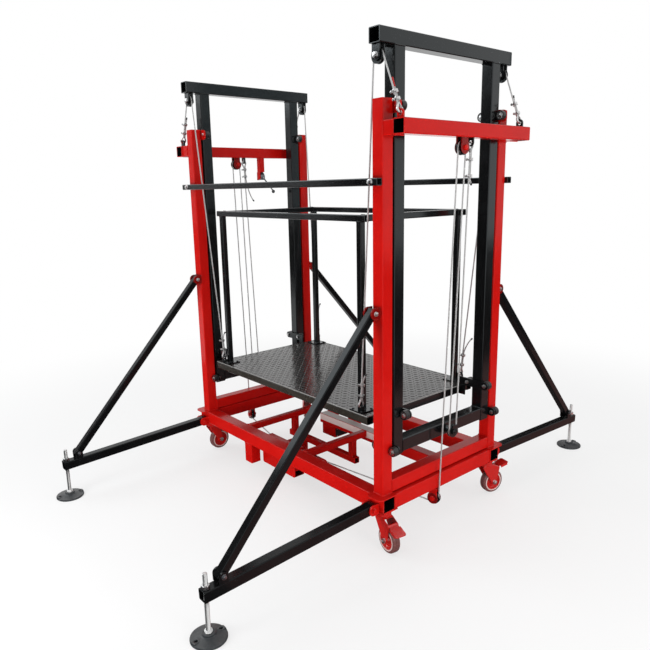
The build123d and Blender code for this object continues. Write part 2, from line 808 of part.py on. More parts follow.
def make_mast_fittings(side):
    pieces = [Pos(x, inner_mast_out, foot_roller_z) * roller_axle(plate, wide_spacer, foot_roller_width)
              for x in (inner_roller_x, outer_roller_x)]
    span = 2 * cheek_offset + cheek_plate
    pieces.append(bolt((top_sheave_x, top_sheave_y - span / 2, top_sheave_z), (0, 1, 0), span))
    pieces = front_and_rear(pieces)
    outer_end = lower_sheave_x + cheek_offset + cheek_plate / 2
    grip = outer_end - mast_out
    start = (outer_end, lower_sheave_y, lower_sheave_z)
    pin = rod(start, (-1, 0, 0), grip, bolt_radius)
    pin += hexagon(start, (1, 0, 0), head_height, bolt_radius * head_ratio)
    pieces.append(pin)
    return on_side(pieces, side)


# Deck: chequer plate on a welded tube frame with four roller arms
def make_deck_plate():
    return [block((-deck_half_x, -deck_half_y, deck_low), (deck_half_x, deck_half_y, deck_top))]


def make_deck_frame():
    low = deck_low - deck_tube
    inner_x = deck_half_x - deck_tube
    inner_y = deck_half_y - deck_tube
    pieces = front_and_rear([
        tube((-deck_half_x, inner_y, low), (deck_half_x, deck_half_y, deck_low), "X"),
    ])
    arms = front_and_rear([deck_arm()])
    for side in sides.values():
        pieces += on_side([tube((inner_x, -inner_y, low), (deck_half_x, inner_y, deck_low), "Y")], side)
        pieces += on_side(arms, side)
    for i in range(1, deck_bays):
        x = -inner_x + 2 * inner_x * i / deck_bays
        pieces.append(tube((x - deck_tube / 2, -inner_y, low), (x + deck_tube / 2, inner_y, deck_low), "Y"))
    return pieces


# Guard: posts on foot plates, top rails, and the rope lugs beside the posts
def make_guard_frame():
    half = guard_tube / 2
    foot_top = deck_top + post_foot_plate
    rail_low = guard_top - guard_tube
    corner = [
        Pos(post_x, post_y, deck_top + post_foot_plate / 2) * Box(post_foot, post_foot, post_foot_plate),
        tube((post_x - half, post_y - half, foot_top), (post_x + half, post_y + half, rail_low), "Z"),
        Pos(deck_eye_x, deck_eye_y, foot_top + lug_rise) * Rot(180, 0, 0)
        * cheek(lug_half_width, lug_rise, plate, lug_hole),
    ]
    pieces = front_and_rear(corner)
    pieces += mirrored(pieces, Plane.YZ)
    reach = post_x + guard_overhang
    pieces += front_and_rear([
        tube((-reach, post_y - half, rail_low), (reach, post_y + half, guard_top), "X"),
    ])
    for x in (-post_x, post_x):
        pieces.append(tube((x - half, -post_y + half, rail_low), (x + half, post_y - half, guard_top), "Y"))
    return pieces


def make_platform_fittings():
    pieces = [Pos(x, arm_plate_in, deck_roller_z) * roller_axle(plate, narrow_spacer, deck_roller_width)
              for x in (inner_roller_x, outer_roller_x)]
    pieces = front_and_rear(pieces)
    pieces += mirrored(pieces, Plane.YZ)
    for side in sides.values():
        for end in (-1, 1):
            pieces += deck_end(side, end)[0]
    return pieces


# Guide roller pairs: one roller in front and one behind, on the same axis
def make_roller_pair(x, y_start, way, width, z):
    turn = Rot(0, 0, 0 if way > 0 else 180)
    return front_and_rear([Pos(x, y_start, z) * turn * roller(width)])


# Winch: gear case and finned motor behind the front rail, rear bearing plate on tie bars
def make_winch_housing():
    case = block((case_left, case_front, case_low), (case_right, case_rear, case_high))
    case = fillet(case.edges().filter_by(Axis.Y), case_corner)
    case -= rod((drum_x, case_rear, drum_z), (0, -1, 0), shaft_socket, drum_shaft_radius + fit_play)
    pocket_low = case_low + pocket_wall
    case -= block((case_right - pocket_depth, case_front + pocket_wall, pocket_low),
                  (case_right, case_rear - pocket_wall, pocket_low + pocket_height))
    motor_y = case_front + motor_radius + motor_fin + side_play
    motor_z = strut_low - motor_radius - 2 * motor_fin
    start = Vector(case_right, motor_y, motor_z)
    motor = rod(start, (1, 0, 0), motor_length, motor_radius)
    finned = motor_length - fan_cover
    fin = Pos(finned / 2, 0, motor_radius) * Box(finned, thin_plate, 2 * motor_fin)
    for i in range(motor_fins):
        motor += Pos(*start) * Rot(360 * i / motor_fins, 0, 0) * fin
    motor += rod(start + Vector(finned, 0, 0), (1, 0, 0), fan_cover, motor_radius + motor_fin)
    low = drum_z - drum_flange_radius - tie_bar_radius
    bar_z = drum_z + drum_flange_radius + 2 * tie_bar_radius
    high = bar_z + 2 * tie_bar_radius
    bearing = block((drum_x - bearing_half_width, drum_rear + side_play, low),
                    (drum_x + bearing_half_width, drum_rear + side_play + bearing_plate, high))
    bearing = fillet(bearing.edges().filter_by(Axis.Y), case_corner)
    bearing -= rod((drum_x, drum_rear, drum_z), (0, 1, 0), 2 * bearing_plate, drum_shaft_radius + fit_play)
    bar_length = drum_rear + side_play - case_rear
    bars = [rod((drum_x + way * tie_bar_spread, case_rear, bar_z), (0, 1, 0), bar_length, tie_bar_radius)
            for way in (-1, 1)]
    return [case, motor, bearing] + bars


def make_winch_drum():
    barrel_radius = drum_rope_radius - rope_radius - groove_play
    drum = rod((drum_x, drum_front, drum_z), (0, 1, 0), drum_rear - drum_front, barrel_radius)
    for y in (drum_front, drum_rear - drum_flange):
        drum += rod((drum_x, y, drum_z), (0, 1, 0), drum_flange, drum_flange_radius)
    shaft_start = case_rear - shaft_socket + side_play
    shaft_end = drum_rear + side_play + bearing_plate
    drum += rod((drum_x, shaft_start, drum_z), (0, 1, 0), shaft_end - shaft_start, drum_shaft_radius)
    return [drum]


# Least clear gap of a wound rope to itself, measured on points along its path
def least_gap(path, turns):
    count = int(turns * gap_points)
    points = [path @ (i / count) for i in range(count + 1)]
    half_turn = gap_points // 2
    return min((b - a).length for i, a in enumerate(points) for b in points[i + half_turn:]) - rope_diameter


# Rope wound on the drum: helices towards the front from where the ropes come in, as quarter-turn biarcs
def make_drum_rope():
    pieces = []
    for side in sides.values():
        start = base_sheave_place(side)[3]
        first = side * pi / 2
        rise = -rope_pitch / (2 * pi)
        slope = sqrt(drum_rope_radius ** 2 + rise ** 2)
        steps = int(drum_turns * 4)

        def at(step):
            turn = first + step * pi / 2
            return Vector(drum_x + drum_rope_radius * cos(turn), start.Y + rise * step * pi / 2,
                          drum_z + drum_rope_radius * sin(turn))

        def heading(step):
            turn = first + step * pi / 2
            return Vector(-drum_rope_radius * sin(turn), rise, drum_rope_radius * cos(turn)) / slope

        arcs = []
        for step in range(steps):
            arcs += biarc(at(step), heading(step), at(step + 1), heading(step + 1))
        path = Wire([edge for arc in arcs for edge in arc.edges()])
        pieces.append(sweep(Plane(origin=at(0), z_dir=heading(0)) * Circle(rope_radius), path))
        print("least gap between drum turns", round(least_gap(path, drum_turns), 2), "mm")
    return pieces


def make_control_box():
    front = spine_y - half_mast
    top = base_top - mast_tube
    box = block((control_left, front, top - control_height),
                (control_left + control_length, front + control_width, top))
    box = fillet(box.edges().filter_by(Axis.Z), case_corner)
    gland_start = (control_left, front + control_width / 2, top - control_height / 2)
    return [box, hexagon(gland_start, (-1, 0, 0), gland_length, gland_radius)]


# Limit switch on its post, and its roller lever
def make_limit_switch():
    body = block((switch_face_x, switch_y - switch_width / 2, switch_top - switch_height),
                 (switch_face_x + strut_tube, switch_y + switch_width / 2, switch_top))
    body = fillet(body.edges().filter_by(Axis.X), thin_plate)
    body += rod((switch_face_x, switch_y, lever_z), (-1, 0, 0), lever_plate * 2, lever_shaft_radius)
    return mirrored([body], Plane.YZ)


def make_limit_lever():
    length = hypot(lever_reach_y, lever_reach_z)
    angle = degrees(atan2(-lever_reach_z, lever_reach_y))
    face = Pos(length / 2, 0) * SlotOverall(length + lever_width, lever_width)
    face += Circle(lever_hub_radius)
    face -= Circle(lever_shaft_radius + fit_play)
    arm = extrude(Rot(0, 0, angle) * face, lever_plate)
    tip = (lever_reach_y, -lever_reach_z, -lever_plate)
    arm += rod(tip, (0, 0, 1), 2 * lever_plate, lever_roller_radius)
    seat = Plane(origin=(-switch_face_x + lever_plate, switch_y, lever_z), x_dir=(0, 1, 0), z_dir=(1, 0, 0))
    return [seat * arm]


# Casters: in their own frame the swivel axis is Z and the wheel trails along +X
def caster_place(corner):
    side_x, side_y = corners[corner]
    return Pos(side_x * caster_x, side_y * caster_y, 0) * Rot(0, 0, caster_angles[corner])


def make_caster_fork(corner):
    crown_z = fork_legs_top - fork_round
    rounds = [(trail, wheel_radius, fork_boss), (fork_round - crown_front, crown_z, fork_round),
              (crown_rear - fork_round, crown_z, fork_round)]
    if corner in pedal_tilts:
        rounds.append((pedal_pivot_u, pedal_pivot_z, pedal_hub_radius))
    circles = [Pos(u, z) * Circle(radius) for u, z, radius in rounds]
    outline = make_hull([edge for circle in circles for edge in circle.edges()])
    gap = fork_half_gap
    half = gap + fork_plate
    fork = extrude(Plane.XZ * outline, half, both=True)
    fork = fillet(fork.edges().filter_by(Axis.X).group_by(Axis.Z)[-1], fork_plate)
    fork -= block((-crown_front, -gap, 0), (pedal_pivot_u + fork_boss, gap, fork_legs_top - fork_plate))
    race = rod((0, 0, fork_legs_top - fork_plate), (0, 0, 1), crown_height + fork_plate, race_radius)
    race = chamfer(race.edges().group_by(Axis.Z)[0], race_chamfer)
    fork += race
    fork -= rod((0, 0, fork_legs_top - fork_plate), (0, 0, 1), crown_height + fork_plate,
                kingpin_radius + fit_play)
    fork += bolt((trail, -half, wheel_radius), (0, 1, 0), 2 * half, axle_radius)
    if corner in pedal_tilts:
        fork += rod((pedal_pivot_u, -half, pedal_pivot_z), (0, 1, 0), 2 * half, pedal_pin_radius)
    return [caster_place(corner) * fork]


def make_caster_wheel(corner):
    half = wheel_width / 2
    tread = make_face(Polyline((hub_radius, -half), (wheel_radius, -half), (wheel_radius, half),
                               (hub_radius, half), close=True).edges())
    tread = fillet(tread.vertices().group_by(Axis.X)[-1], wheel_round)
    bore = axle_radius + fit_play
    rim = hub_radius - thin_plate
    hub = make_face(Polyline(
        (bore, -hub_half_width), (boss_radius, -hub_half_width), (boss_radius, -web_half_width),
        (rim, -web_half_width), (rim, -half), (hub_radius, -half), (hub_radius, half), (rim, half),
        (rim, web_half_width), (boss_radius, web_half_width), (boss_radius, hub_half_width),
        (bore, hub_half_width), close=True).edges())
    place = caster_place(corner) * Pos(trail, 0, wheel_radius)
    return [place * revolve(face, Axis.Y) for face in (tread, hub)]


# Brake pedal: a hub on its pin, a neck between the fork legs and a wider toe with turned-down sides
def make_caster_pedal(corner):
    half = fork_half_gap - side_play
    toe = block((pedal_neck, -pedal_toe_half, 0), (pedal_length, pedal_toe_half, fork_plate))
    toe = fillet(toe.edges().filter_by(Axis.Z).group_by(Axis.X)[-1], pedal_hub_radius)
    tread = toe + block((0, -half, 0), (pedal_length / 2, half, fork_plate))
    for way in (-1, 1):
        near, far = sorted((way * (pedal_toe_half - fork_plate), way * pedal_toe_half))
        tread += block((pedal_neck, near, -pedal_flange), (pedal_length - pedal_hub_radius, far, fork_plate))
    pedal = Rot(0, -pedal_tilts[corner], 0) * Pos(0, 0, fork_plate / 2) * tread
    pedal += rod((0, -half, 0), (0, 1, 0), 2 * half, pedal_hub_radius)
    pedal -= rod((0, -half, 0), (0, 1, 0), 2 * half, pedal_pin_radius + fit_play)
    return [caster_place(corner) * Pos(pedal_pivot_u, 0, pedal_pivot_z) * pedal]


# Levelling foot: screw with its swivel nut, and a round ground pad. The pad rises from its rim to a collar,
# and a raised boss that runs out to the rim stands round each of its two fixing holes
def make_levelling_foot(corner):
    side_x, side_y = corners[corner]
    profile = make_face(Polyline(
        (0, 0), (pad_radius, 0), (pad_radius, pad_rim), (pad_collar_radius, pad_crown),
        (pad_collar_radius, pad_collar_top), (0, pad_collar_top), close=True).edges())
    pad = revolve(Plane.XZ * profile, Axis.Z)
    outline = rod((0, 0, 0), (0, 0, 1), pad_boss_top, pad_radius)
    for way in (-1, 1):
        hole = (way * pad_hole_reach, 0, 0)
        boss = rod(hole, (0, 0, 1), pad_boss_top, pad_boss_radius)
        near, far = sorted((way * pad_hole_reach, way * pad_radius))
        boss += block((near, -pad_boss_radius, 0), (far, pad_boss_radius, pad_boss_top))
        pad += boss & outline
        pad -= rod(hole, (0, 0, 1), pad_boss_top, pad_hole_radius)
    screw = rod((0, 0, pad_collar_top), (0, 0, 1), screw_top - pad_collar_top, screw_radius)
    screw += hexagon((0, 0, pad_collar_top), (0, 0, 1), pad_nut_top - pad_collar_top, pad_nut_radius)
    place = Pos(side_x * outrigger_x, side_y * screw_y, 0)
    return [place * pad, place * screw]


os.makedirs("parts", exist_ok=True)
save("base_frame", make_base_frame())
save("tie_rails", make_tie_rails())
save("outriggers", make_outriggers())
save("frame_fittings", make_frame_fittings())
save("winch_housing", make_winch_housing())
save("winch_drum", make_winch_drum())
save("drum_rope", make_drum_rope())
save("control_box", make_control_box())
save("limit_switch", make_limit_switch())
save("limit_lever", make_limit_lever())
save("hoist_rope_runs", make_hoist_rope_runs())
save("hoist_rope_falls", make_hoist_rope_falls())
save("anchor_ropes", make_anchor_ropes())
save("platform_ropes", make_platform_ropes())
save("deck_plate", make_deck_plate())
save("deck_frame", make_deck_frame())
save("guard_frame", make_guard_frame())
save("platform_fittings", make_platform_fittings())

for name, side in sides.items():
    save(f"{name}_mast_frame", make_mast_frame(side))
    save(f"{name}_inner_mast", make_inner_mast(side))
    save(f"{name}_mast_fittings", make_mast_fittings(side))
    save(f"{name}_rope_arcs", make_rope_arcs(side))
    top = [Pos(side * top_sheave_x, end * top_sheave_y, top_sheave_z) * sheave() for end in (-1, 1)]
    save(f"{name}_top_sheaves", top)
    flat = Rot(0, 0, 90) * sheave()
    save(f"{name}_crossbeam_sheave", [Pos(side * crossbeam_x, hoist_y, hoist_sheave_z) * flat])
    save(f"{name}_lower_sheave", [Pos(side * lower_sheave_x, lower_sheave_y, lower_sheave_z) * flat])
    centre = base_sheave_place(side)[1]
    heading = base_sheave_place(side)[2]
    turned = Rot(0, 0, degrees(atan2(heading.Y, heading.X))) * sheave()
    save(f"{name}_base_sheave", [Pos(*centre) * turned])
    for row, x in (("outer", outer_roller_x), ("inner", inner_roller_x)):
        x = side * x
        save(f"{name}_guide_rollers_{row}", make_roller_pair(
            x, outer_mast_in - plate - narrow_spacer, -1, guide_roller_width, guide_roller_z))
        save(f"{name}_foot_rollers_{row}", make_roller_pair(
            x, inner_mast_out + plate + wide_spacer, 1, foot_roller_width, foot_roller_z))
        save(f"{name}_deck_rollers_{row}", make_roller_pair(
            x, arm_plate_out + narrow_spacer, 1, deck_roller_width, deck_roller_z))

for corner in corners:
    save(f"{corner}_caster_fork", make_caster_fork(corner))
    save(f"{corner}_caster_wheel", make_caster_wheel(corner))
    save(f"{corner}_levelling_foot", make_levelling_foot(corner))
for corner in pedal_tilts:
    save(f"{corner}_caster_pedal", make_caster_pedal(corner))
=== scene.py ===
import json
from collections import defaultdict
from math import atan2, ceil, cos, hypot, pi, radians, sin

import bmesh
import bpy
import numpy as np
from mathutils import Matrix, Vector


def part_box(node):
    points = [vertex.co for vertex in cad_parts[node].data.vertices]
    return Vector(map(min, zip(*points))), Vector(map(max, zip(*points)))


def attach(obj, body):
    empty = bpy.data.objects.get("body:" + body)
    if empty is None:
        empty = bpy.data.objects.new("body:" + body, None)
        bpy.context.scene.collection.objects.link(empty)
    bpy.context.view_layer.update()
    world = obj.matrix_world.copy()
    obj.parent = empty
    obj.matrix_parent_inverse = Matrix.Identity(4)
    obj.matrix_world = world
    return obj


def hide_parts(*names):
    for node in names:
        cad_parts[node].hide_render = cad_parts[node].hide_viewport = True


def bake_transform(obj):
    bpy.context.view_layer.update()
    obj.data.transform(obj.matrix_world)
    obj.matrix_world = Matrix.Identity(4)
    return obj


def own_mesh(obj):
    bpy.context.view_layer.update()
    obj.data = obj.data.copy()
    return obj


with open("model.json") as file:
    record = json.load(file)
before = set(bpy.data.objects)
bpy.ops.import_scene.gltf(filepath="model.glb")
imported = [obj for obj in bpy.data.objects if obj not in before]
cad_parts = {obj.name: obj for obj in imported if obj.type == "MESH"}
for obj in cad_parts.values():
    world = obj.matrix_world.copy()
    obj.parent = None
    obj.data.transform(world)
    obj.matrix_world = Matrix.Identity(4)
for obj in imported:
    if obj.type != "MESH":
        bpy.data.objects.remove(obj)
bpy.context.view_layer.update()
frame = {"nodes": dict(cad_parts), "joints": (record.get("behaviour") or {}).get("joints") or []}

# Electric scaffold lift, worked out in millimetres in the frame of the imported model; its meshes are in metres
mm = 0.001
nodes = frame["nodes"]
joints = {joint["name"]: joint for joint in frame["joints"]}
sides = {"left": -1, "right": 1}
corners = {"front_right": (1, -1), "rear_right": (1, 1), "front_left": (-1, -1), "rear_left": (-1, 1)}
xAxis, yAxis, zAxis = np.eye(3)
weldGap = 0.002  # nearer points of a piece become one
hexForm = {"points": 48, "circle": 0.475}  # the chamfer circle is a share of the wrench size
scene = bpy.context.scene
laid = defaultdict(list)  # parts that wait for their piece, by its name


def unit(vectors):
    # vectors over their own lengths
    vectors = np.asarray(vectors, float)
    return vectors / np.linalg.norm(vectors, axis=-1, keepdims=True)


def place(jointName):
    # where a joint is
    return np.array(joints[jointName]["pos_m"], float) / mm


def boxOf(node):
    # a node's lowest and highest corners
    return np.array([tuple(corner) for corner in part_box(node)]) / mm


# Surfaces: a part is its points, its quads and a UV pair for each quad corner
def surface(points, closeRows=False, closeCols=True, span=(1.0, 1.0)):
    # quads between neighbouring rows and columns of a grid of points; a closed way joins last to first
    rows, cols = points.shape[:2]
    i, j = np.meshgrid(np.arange(rows - (not closeRows)), np.arange(cols - (not closeCols)), indexing="ij")
    ring = np.stack((i, i, i + 1, i + 1), -1).reshape(-1, 4)
    spot = np.stack((j, j + 1, j + 1, j), -1).reshape(-1, 4)
    quads = (ring % rows) * cols + spot % cols
    uv = np.stack((ring * span[0] / rows, spot * span[1] / cols), -1)
    return points.reshape(-1, 3), quads, uv


def joined(parts):
    # parts laid one after another, with their quads counted on
    points, quads, uv = zip(*parts)
    starts = np.cumsum([0] + [len(some) for some in points[:-1]])
    counted = [some + start for some, start in zip(quads, starts)]
    return np.concatenate(points), np.concatenate(counted), np.concatenate(uv)


def copies(part, origins, axes):
    # the part set at every origin, its z along the axis there and its y as upright as that allows
    origins = np.atleast_2d(np.asarray(origins, float))
    axes = unit(np.broadcast_to(np.asarray(axes, float), origins.shape))
    side = unit(np.cross(np.where(np.abs(axes[:, 2:3]) < 0.9, zAxis, xAxis), axes))
    basis = np.stack((side, np.cross(axes, side), axes), 1)
    points, quads, uv = part
    moved = origins[:, None] + np.einsum("nj,kji->kni", points, basis)
    shift = np.arange(len(origins)) * len(points)
    return (moved.reshape(-1, 3), (quads[None] + shift[:, None, None]).reshape(-1, 4),
            np.tile(uv, (len(origins), 1, 1)))


def lifted(part, height):
    # a part moved along its own z
    return part[0] + (0, 0, height), part[1], part[2]


def flipped(part):
    # a part turned over: its z reversed
    return part[0] * (1, 1, -1), part[1], part[2]


def around(count):
    # evenly spaced turns: i times a full turn over the count
    return np.arange(count) * 2 * pi / count


def circled(turn, radius=1.0):
    # points of a circle: radius times the cosine and sine of each turn
    return np.stack((radius * np.cos(turn), radius * np.sin(turn)), -1)


def ringOutline(radius, count=16):
    # evenly spaced points of a circle
    return circled(around(count), radius)


def spread(at, flat, u, v):
    # a flat path in space: at + a u + b v for each of its points (a, b)
    return at + flat[:, :1] * u + flat[:, 1:] * v


def closedHalf(half, about=0.0):
    # a closed profile from one half and its mirror image at the height about
    half = np.asarray(half, float)
    return np.concatenate((half, half[::-1] * (1, -1) + (0, 2 * about), half[:1]))


def revolved(profile, segments=48):
    # radius and height of each profile point turned about z: x = r cos t, y = r sin t
    radius, height = np.asarray(profile, float).T[..., None]
    ring = circled(around(segments), radius)
    return surface(np.concatenate((ring, np.broadcast_to(height[..., None], ring.shape[:2] + (1,))), -1))


def rod(radius, low, high, segments=32):
    # plain round bar along z
    return revolved([(0, low), (radius, low), (radius, high), (0, high)], segments)


def studEnd(radius, height, point=0.8):
    # round bar with a cone-shaped point
    return revolved([(0, 0), (radius, 0), (radius, height - point), (radius - 0.9, height), (0, height)], 32)


def washer(bore, radius, height, edge=0.3, segments=40):
    # flat ring whose outer corners are broken
    return revolved([(bore, 0), (radius - edge, 0), (radius, edge), (radius, height - edge),
                     (radius - edge, height), (bore, height), (bore, 0)], segments)


def hexBlock(width, height, bore=0.0, lowChamfer=False):
    # the outline is half the width over the cosine of the angle from the nearest flat; outside the chamfer
    # circle the top falls off at 30 degrees, and so does the bottom where asked
    turn = around(hexForm["points"])
    outline = width / 2 / np.cos((turn + pi / 6) % (pi / 3) - pi / 6)
    circle, inner, flat = (np.full_like(turn, value) for value in (width * hexForm["circle"], bore, 0))
    drop = (outline - circle) * np.tan(pi / 6)
    bottom = [(circle, flat), (outline, drop)] if lowChamfer else [(outline, flat)]
    top = [(outline, height - drop), (circle, flat + height), (inner, flat + height)]
    rings = [(inner, flat)] + bottom + top
    points = np.stack([np.stack((r * np.cos(turn), r * np.sin(turn), z), -1) for r, z in rings])
    return surface(points, closeRows=bore > 0)


def swept(path, section, across, closed=False, span=(1.0, 1.0)):
    # a section carried along a path: each ring stands square to the path, its first axis towards across
    path = np.asarray(path, float)
    along = unit(np.roll(path, -1, 0) - np.roll(path, 1, 0) if closed else np.gradient(path, axis=0))
    across = np.broadcast_to(np.asarray(across, float), path.shape)
    side = unit(across - along * (across * along).sum(-1, keepdims=True))
    up = np.cross(along, side)
    section = np.broadcast_to(section, (len(path),) + np.shape(section)[-2:])
    points = path[:, None] + section[..., :1] * side[:, None] + section[..., 1:] * up[:, None]
    if not closed:
        lid = np.ones((1, points.shape[1], 1))
        points = np.concatenate((path[:1, None] * lid, points, path[-1:, None] * lid))
    return surface(points, closeRows=closed, span=span)


def link(name, data):
    # a new object in the scene
    thing = bpy.data.objects.new(name, data)
    scene.collection.objects.link(thing)
    return thing


def addPiece(name, parts, material, body, *standsFor, sharp=38):
    # one mesh object from many parts: doubles merged, normals outwards, smooth but for its sharp edges
    points, quads, uv = joined(parts)
    mesh = bpy.data.meshes.new(name)
    mesh.vertices.add(len(points))
    mesh.vertices.foreach_set("co", (points * mm).astype(np.float32).ravel())
    mesh.loops.add(quads.size)
    mesh.loops.foreach_set("vertex_index", quads.astype(np.int32).ravel())
    mesh.polygons.add(len(quads))
    mesh.polygons.foreach_set("loop_start", np.arange(0, quads.size, 4, dtype=np.int32))
    mesh.uv_layers.new(name="surface").data.foreach_set("uv", uv.astype(np.float32).ravel())
    mesh.update(calc_edges=True)
    work = bmesh.new()
    work.from_mesh(mesh)
    bmesh.ops.remove_doubles(work, verts=work.verts, dist=weldGap * mm)
    bmesh.ops.recalc_face_normals(work, faces=work.faces)
    work.to_mesh(mesh)
    work.free()
    mesh.polygons.foreach_set("use_smooth", np.ones(len(mesh.polygons), bool))
    mesh.set_sharp_from_angle(angle=radians(sharp))
    mesh.materials.append(material)
    piece = link(name, mesh)
    if body:
        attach(piece, body)
    if standsFor:
        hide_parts(*standsFor)
    return piece


def addLaid(name, material, body, *standsFor, **settings):
    # a piece from the parts that wait for it
    return addPiece(name, laid[name], material, body, *standsFor, **settings)


# Shader helpers
def feed(tree, node, inputs):
    # links sockets to a node's inputs, and sets the rest
    for key, value in inputs.items():
        if isinstance(value, bpy.types.NodeSocket):
            tree.links.new(value, node.inputs[key])
        else:
            node.inputs[key].default_value = value


def put(tree, kind, inputs=None, **settings):
    # a new shader node with its settings and inputs
    node = tree.nodes.new("ShaderNode" + kind)
    for key, value in settings.items():
        setattr(node, key, value)
    feed(tree, node, inputs or {})
    return node


def ownSpot(tree):
    # the piece's own coordinates
    return put(tree, "TexCoord").outputs["Object"]


def ownNormal(tree):
    # the surface's own normal
    return put(tree, "NewGeometry").outputs["Normal"]


def upness(tree):
    # 1 on faces that look up, 0 on upright ones
    return put(tree, "SeparateXYZ", {0: ownNormal(tree)}).outputs["Z"]


def noise(tree, scale, detail=3.0, roughness=0.5, stretch=None):
    # noise on the piece's own coordinates, drawn out along an axis where stretch is given
    where = ownSpot(tree)
    if stretch:
        where = put(tree, "Mapping", {"Vector": where, "Scale": stretch}).outputs["Vector"]
    inputs = {"Vector": where, "Scale": scale, "Detail": detail, "Roughness": roughness}
    return put(tree, "TexNoise", inputs).outputs["Fac"]


def remap(tree, value, low, high, toLow=0.0, toHigh=1.0, **settings):
    # a value's way from low to high, clamped, as a way from toLow to toHigh
    inputs = {"Value": value, "From Min": low, "From Max": high, "To Min": toLow, "To Max": toHigh}
    return put(tree, "MapRange", inputs, **settings).outputs["Result"]


def maths(tree, operation, *values):
    # one step of arithmetic
    return put(tree, "Math", dict(enumerate(values)), operation=operation).outputs["Value"]


def times(tree, first, *others):
    # product of all the values
    for other in others:
        first = maths(tree, "MULTIPLY", first, other)
    return first


def rgba(colour):
    # a grey from one number or a colour from three; a socket stays a socket
    if isinstance(colour, float):
        colour = (colour, colour, colour)
    return colour + (1,) if isinstance(colour, tuple) else colour


def mixColour(tree, factor, a, b):
    # a (1 - factor) + b factor
    return put(tree, "Mix", {0: factor, 6: rgba(a), 7: rgba(b)}, data_type="RGBA").outputs[2]


def bumped(tree, height, strength, distance):
    # the normal tilted by the slope of a height
    inputs = {"Height": height, "Strength": strength, "Distance": distance}
    return put(tree, "Bump", inputs).outputs["Normal"]


def newMaterial(name):
    # a material, its node tree and its shader
    material = bpy.data.materials.new(name)
    material.use_nodes = True
    return material, material.node_tree, material.node_tree.nodes["Principled BSDF"]


# Effects that several finishes share, each a group of plain values
def newGroup(name, effect, **inputs):
    # a group with these inputs and their first values, and the outputs that the effect makes of them
    tree = bpy.data.node_groups.new(name, "ShaderNodeTree")
    for label, start in inputs.items():
        tree.interface.new_socket(label, in_out="INPUT", socket_type="NodeSocketFloat").default_value = start
    made = effect(tree, tree.nodes.new("NodeGroupInput").outputs)
    for label in made:
        tree.interface.new_socket(label, in_out="OUTPUT", socket_type="NodeSocketFloat")
    feed(tree, tree.nodes.new("NodeGroupOutput"), made)
    return tree


def useGroup(tree, group, values):
    # the outputs of a group placed in a material with its own values
    return put(tree, "Group", values, node_tree=group).outputs


def coatEffect(tree, given):
    # fine orange peel over slow waves, and a cloudy tone
    wave = noise(tree, given["Cloud"], 4.0, 0.6)
    height = maths(tree, "MULTIPLY_ADD", wave, 0.6, noise(tree, given["Peel"], 2.0))
    return {"Height": height, "Tone": remap(tree, wave, 0.3, 0.7)}


def zincEffect(tree, given):
    # plating crystals as flat cells under a slow cloud
    cells = put(tree, "TexVoronoi", {"Vector": ownSpot(tree), "Scale": given["Cells"]})
    grey = put(tree, "SeparateColor", {"Color": cells.outputs["Color"]}).outputs["Red"]
    cloudy = maths(tree, "MULTIPLY_ADD", grey, 0.45, noise(tree, 55.0, 4.0, 0.6))
    return {"Height": noise(tree, 1500.0, 2.0), "Tone": remap(tree, cloudy, 0.35, 1.1)}


def dustEffect(tree, given):
    # faces that look up, thinned by patchy noise
    facing = remap(tree, upness(tree), 0.55, 1.0)
    patch = remap(tree, noise(tree, 23.0, 5.0, 0.65), 0.35, 0.75)
    return {"Mask": times(tree, facing, patch, given["Amount"])}


def edgeWearAndHighlightEffect(tree, given):
    # edge mask for worn paint and painted edge highlights: where a rounded normal leaves the surface's own,
    # broken up by noise
    soft = put(tree, "Bevel", {"Radius": given["Radius"]}, samples=4).outputs["Normal"]
    same = put(tree, "VectorMath", {0: ownNormal(tree), 1: soft}, operation="DOT_PRODUCT")
    edge = remap(tree, same.outputs["Value"], 0.97, 0.80)
    patch = remap(tree, noise(tree, 85.0, 4.0, 0.6), 0.42, 0.62)
    return {"Mask": times(tree, edge, patch, given["Amount"])}


def scuffEffect(tree, given):
    # thin drawn-out noise: hair scratches that run two ways
    first = remap(tree, noise(tree, 60.0, 3.0, 0.6, (1.0, 14.0, 9.0)), 0.66, 0.74)
    second = remap(tree, noise(tree, 75.0, 3.0, 0.6, (13.0, 1.0, 11.0)), 0.67, 0.74)
    return {"Mask": times(tree, maths(tree, "MAXIMUM", first, second), given["Amount"])}


def paintedShadeEffect(tree, given):
    # how closed in a point is by its own object: the share of near directions that are blocked, deepest only;
    # painted shade, as the colour goes dark there
    openness = put(tree, "AmbientOcclusion", {"Distance": given["Reach"]}, samples=6, only_local=True)
    return {"Mask": remap(tree, openness.outputs["AO"], 0.50, 0.26)}


def paintedEdgeHighlightEffect(tree, given):
    # painted highlight: upright faces only
    upright = remap(tree, maths(tree, "ABSOLUTE", upness(tree)), 0.12, 0.02)
    return {"Mask": times(tree, upright, given["Amount"])}


def paintedReflectionEffect(tree, given):
    # painted reflection: above a ragged line, as far as the end along x
    spot = put(tree, "SeparateXYZ", {0: ownSpot(tree)}).outputs
    ragged = maths(tree, "MULTIPLY_ADD", noise(tree, 60.0, 4.0, 0.6), 0.004, spot["Z"])
    above = remap(tree, maths(tree, "SUBTRACT", ragged, given["Line"]), 0.0, 0.001)
    before = remap(tree, maths(tree, "SUBTRACT", spot["X"], given["End"]), 0.002, 0.0)
    return {"Mask": times(tree, above, before)}


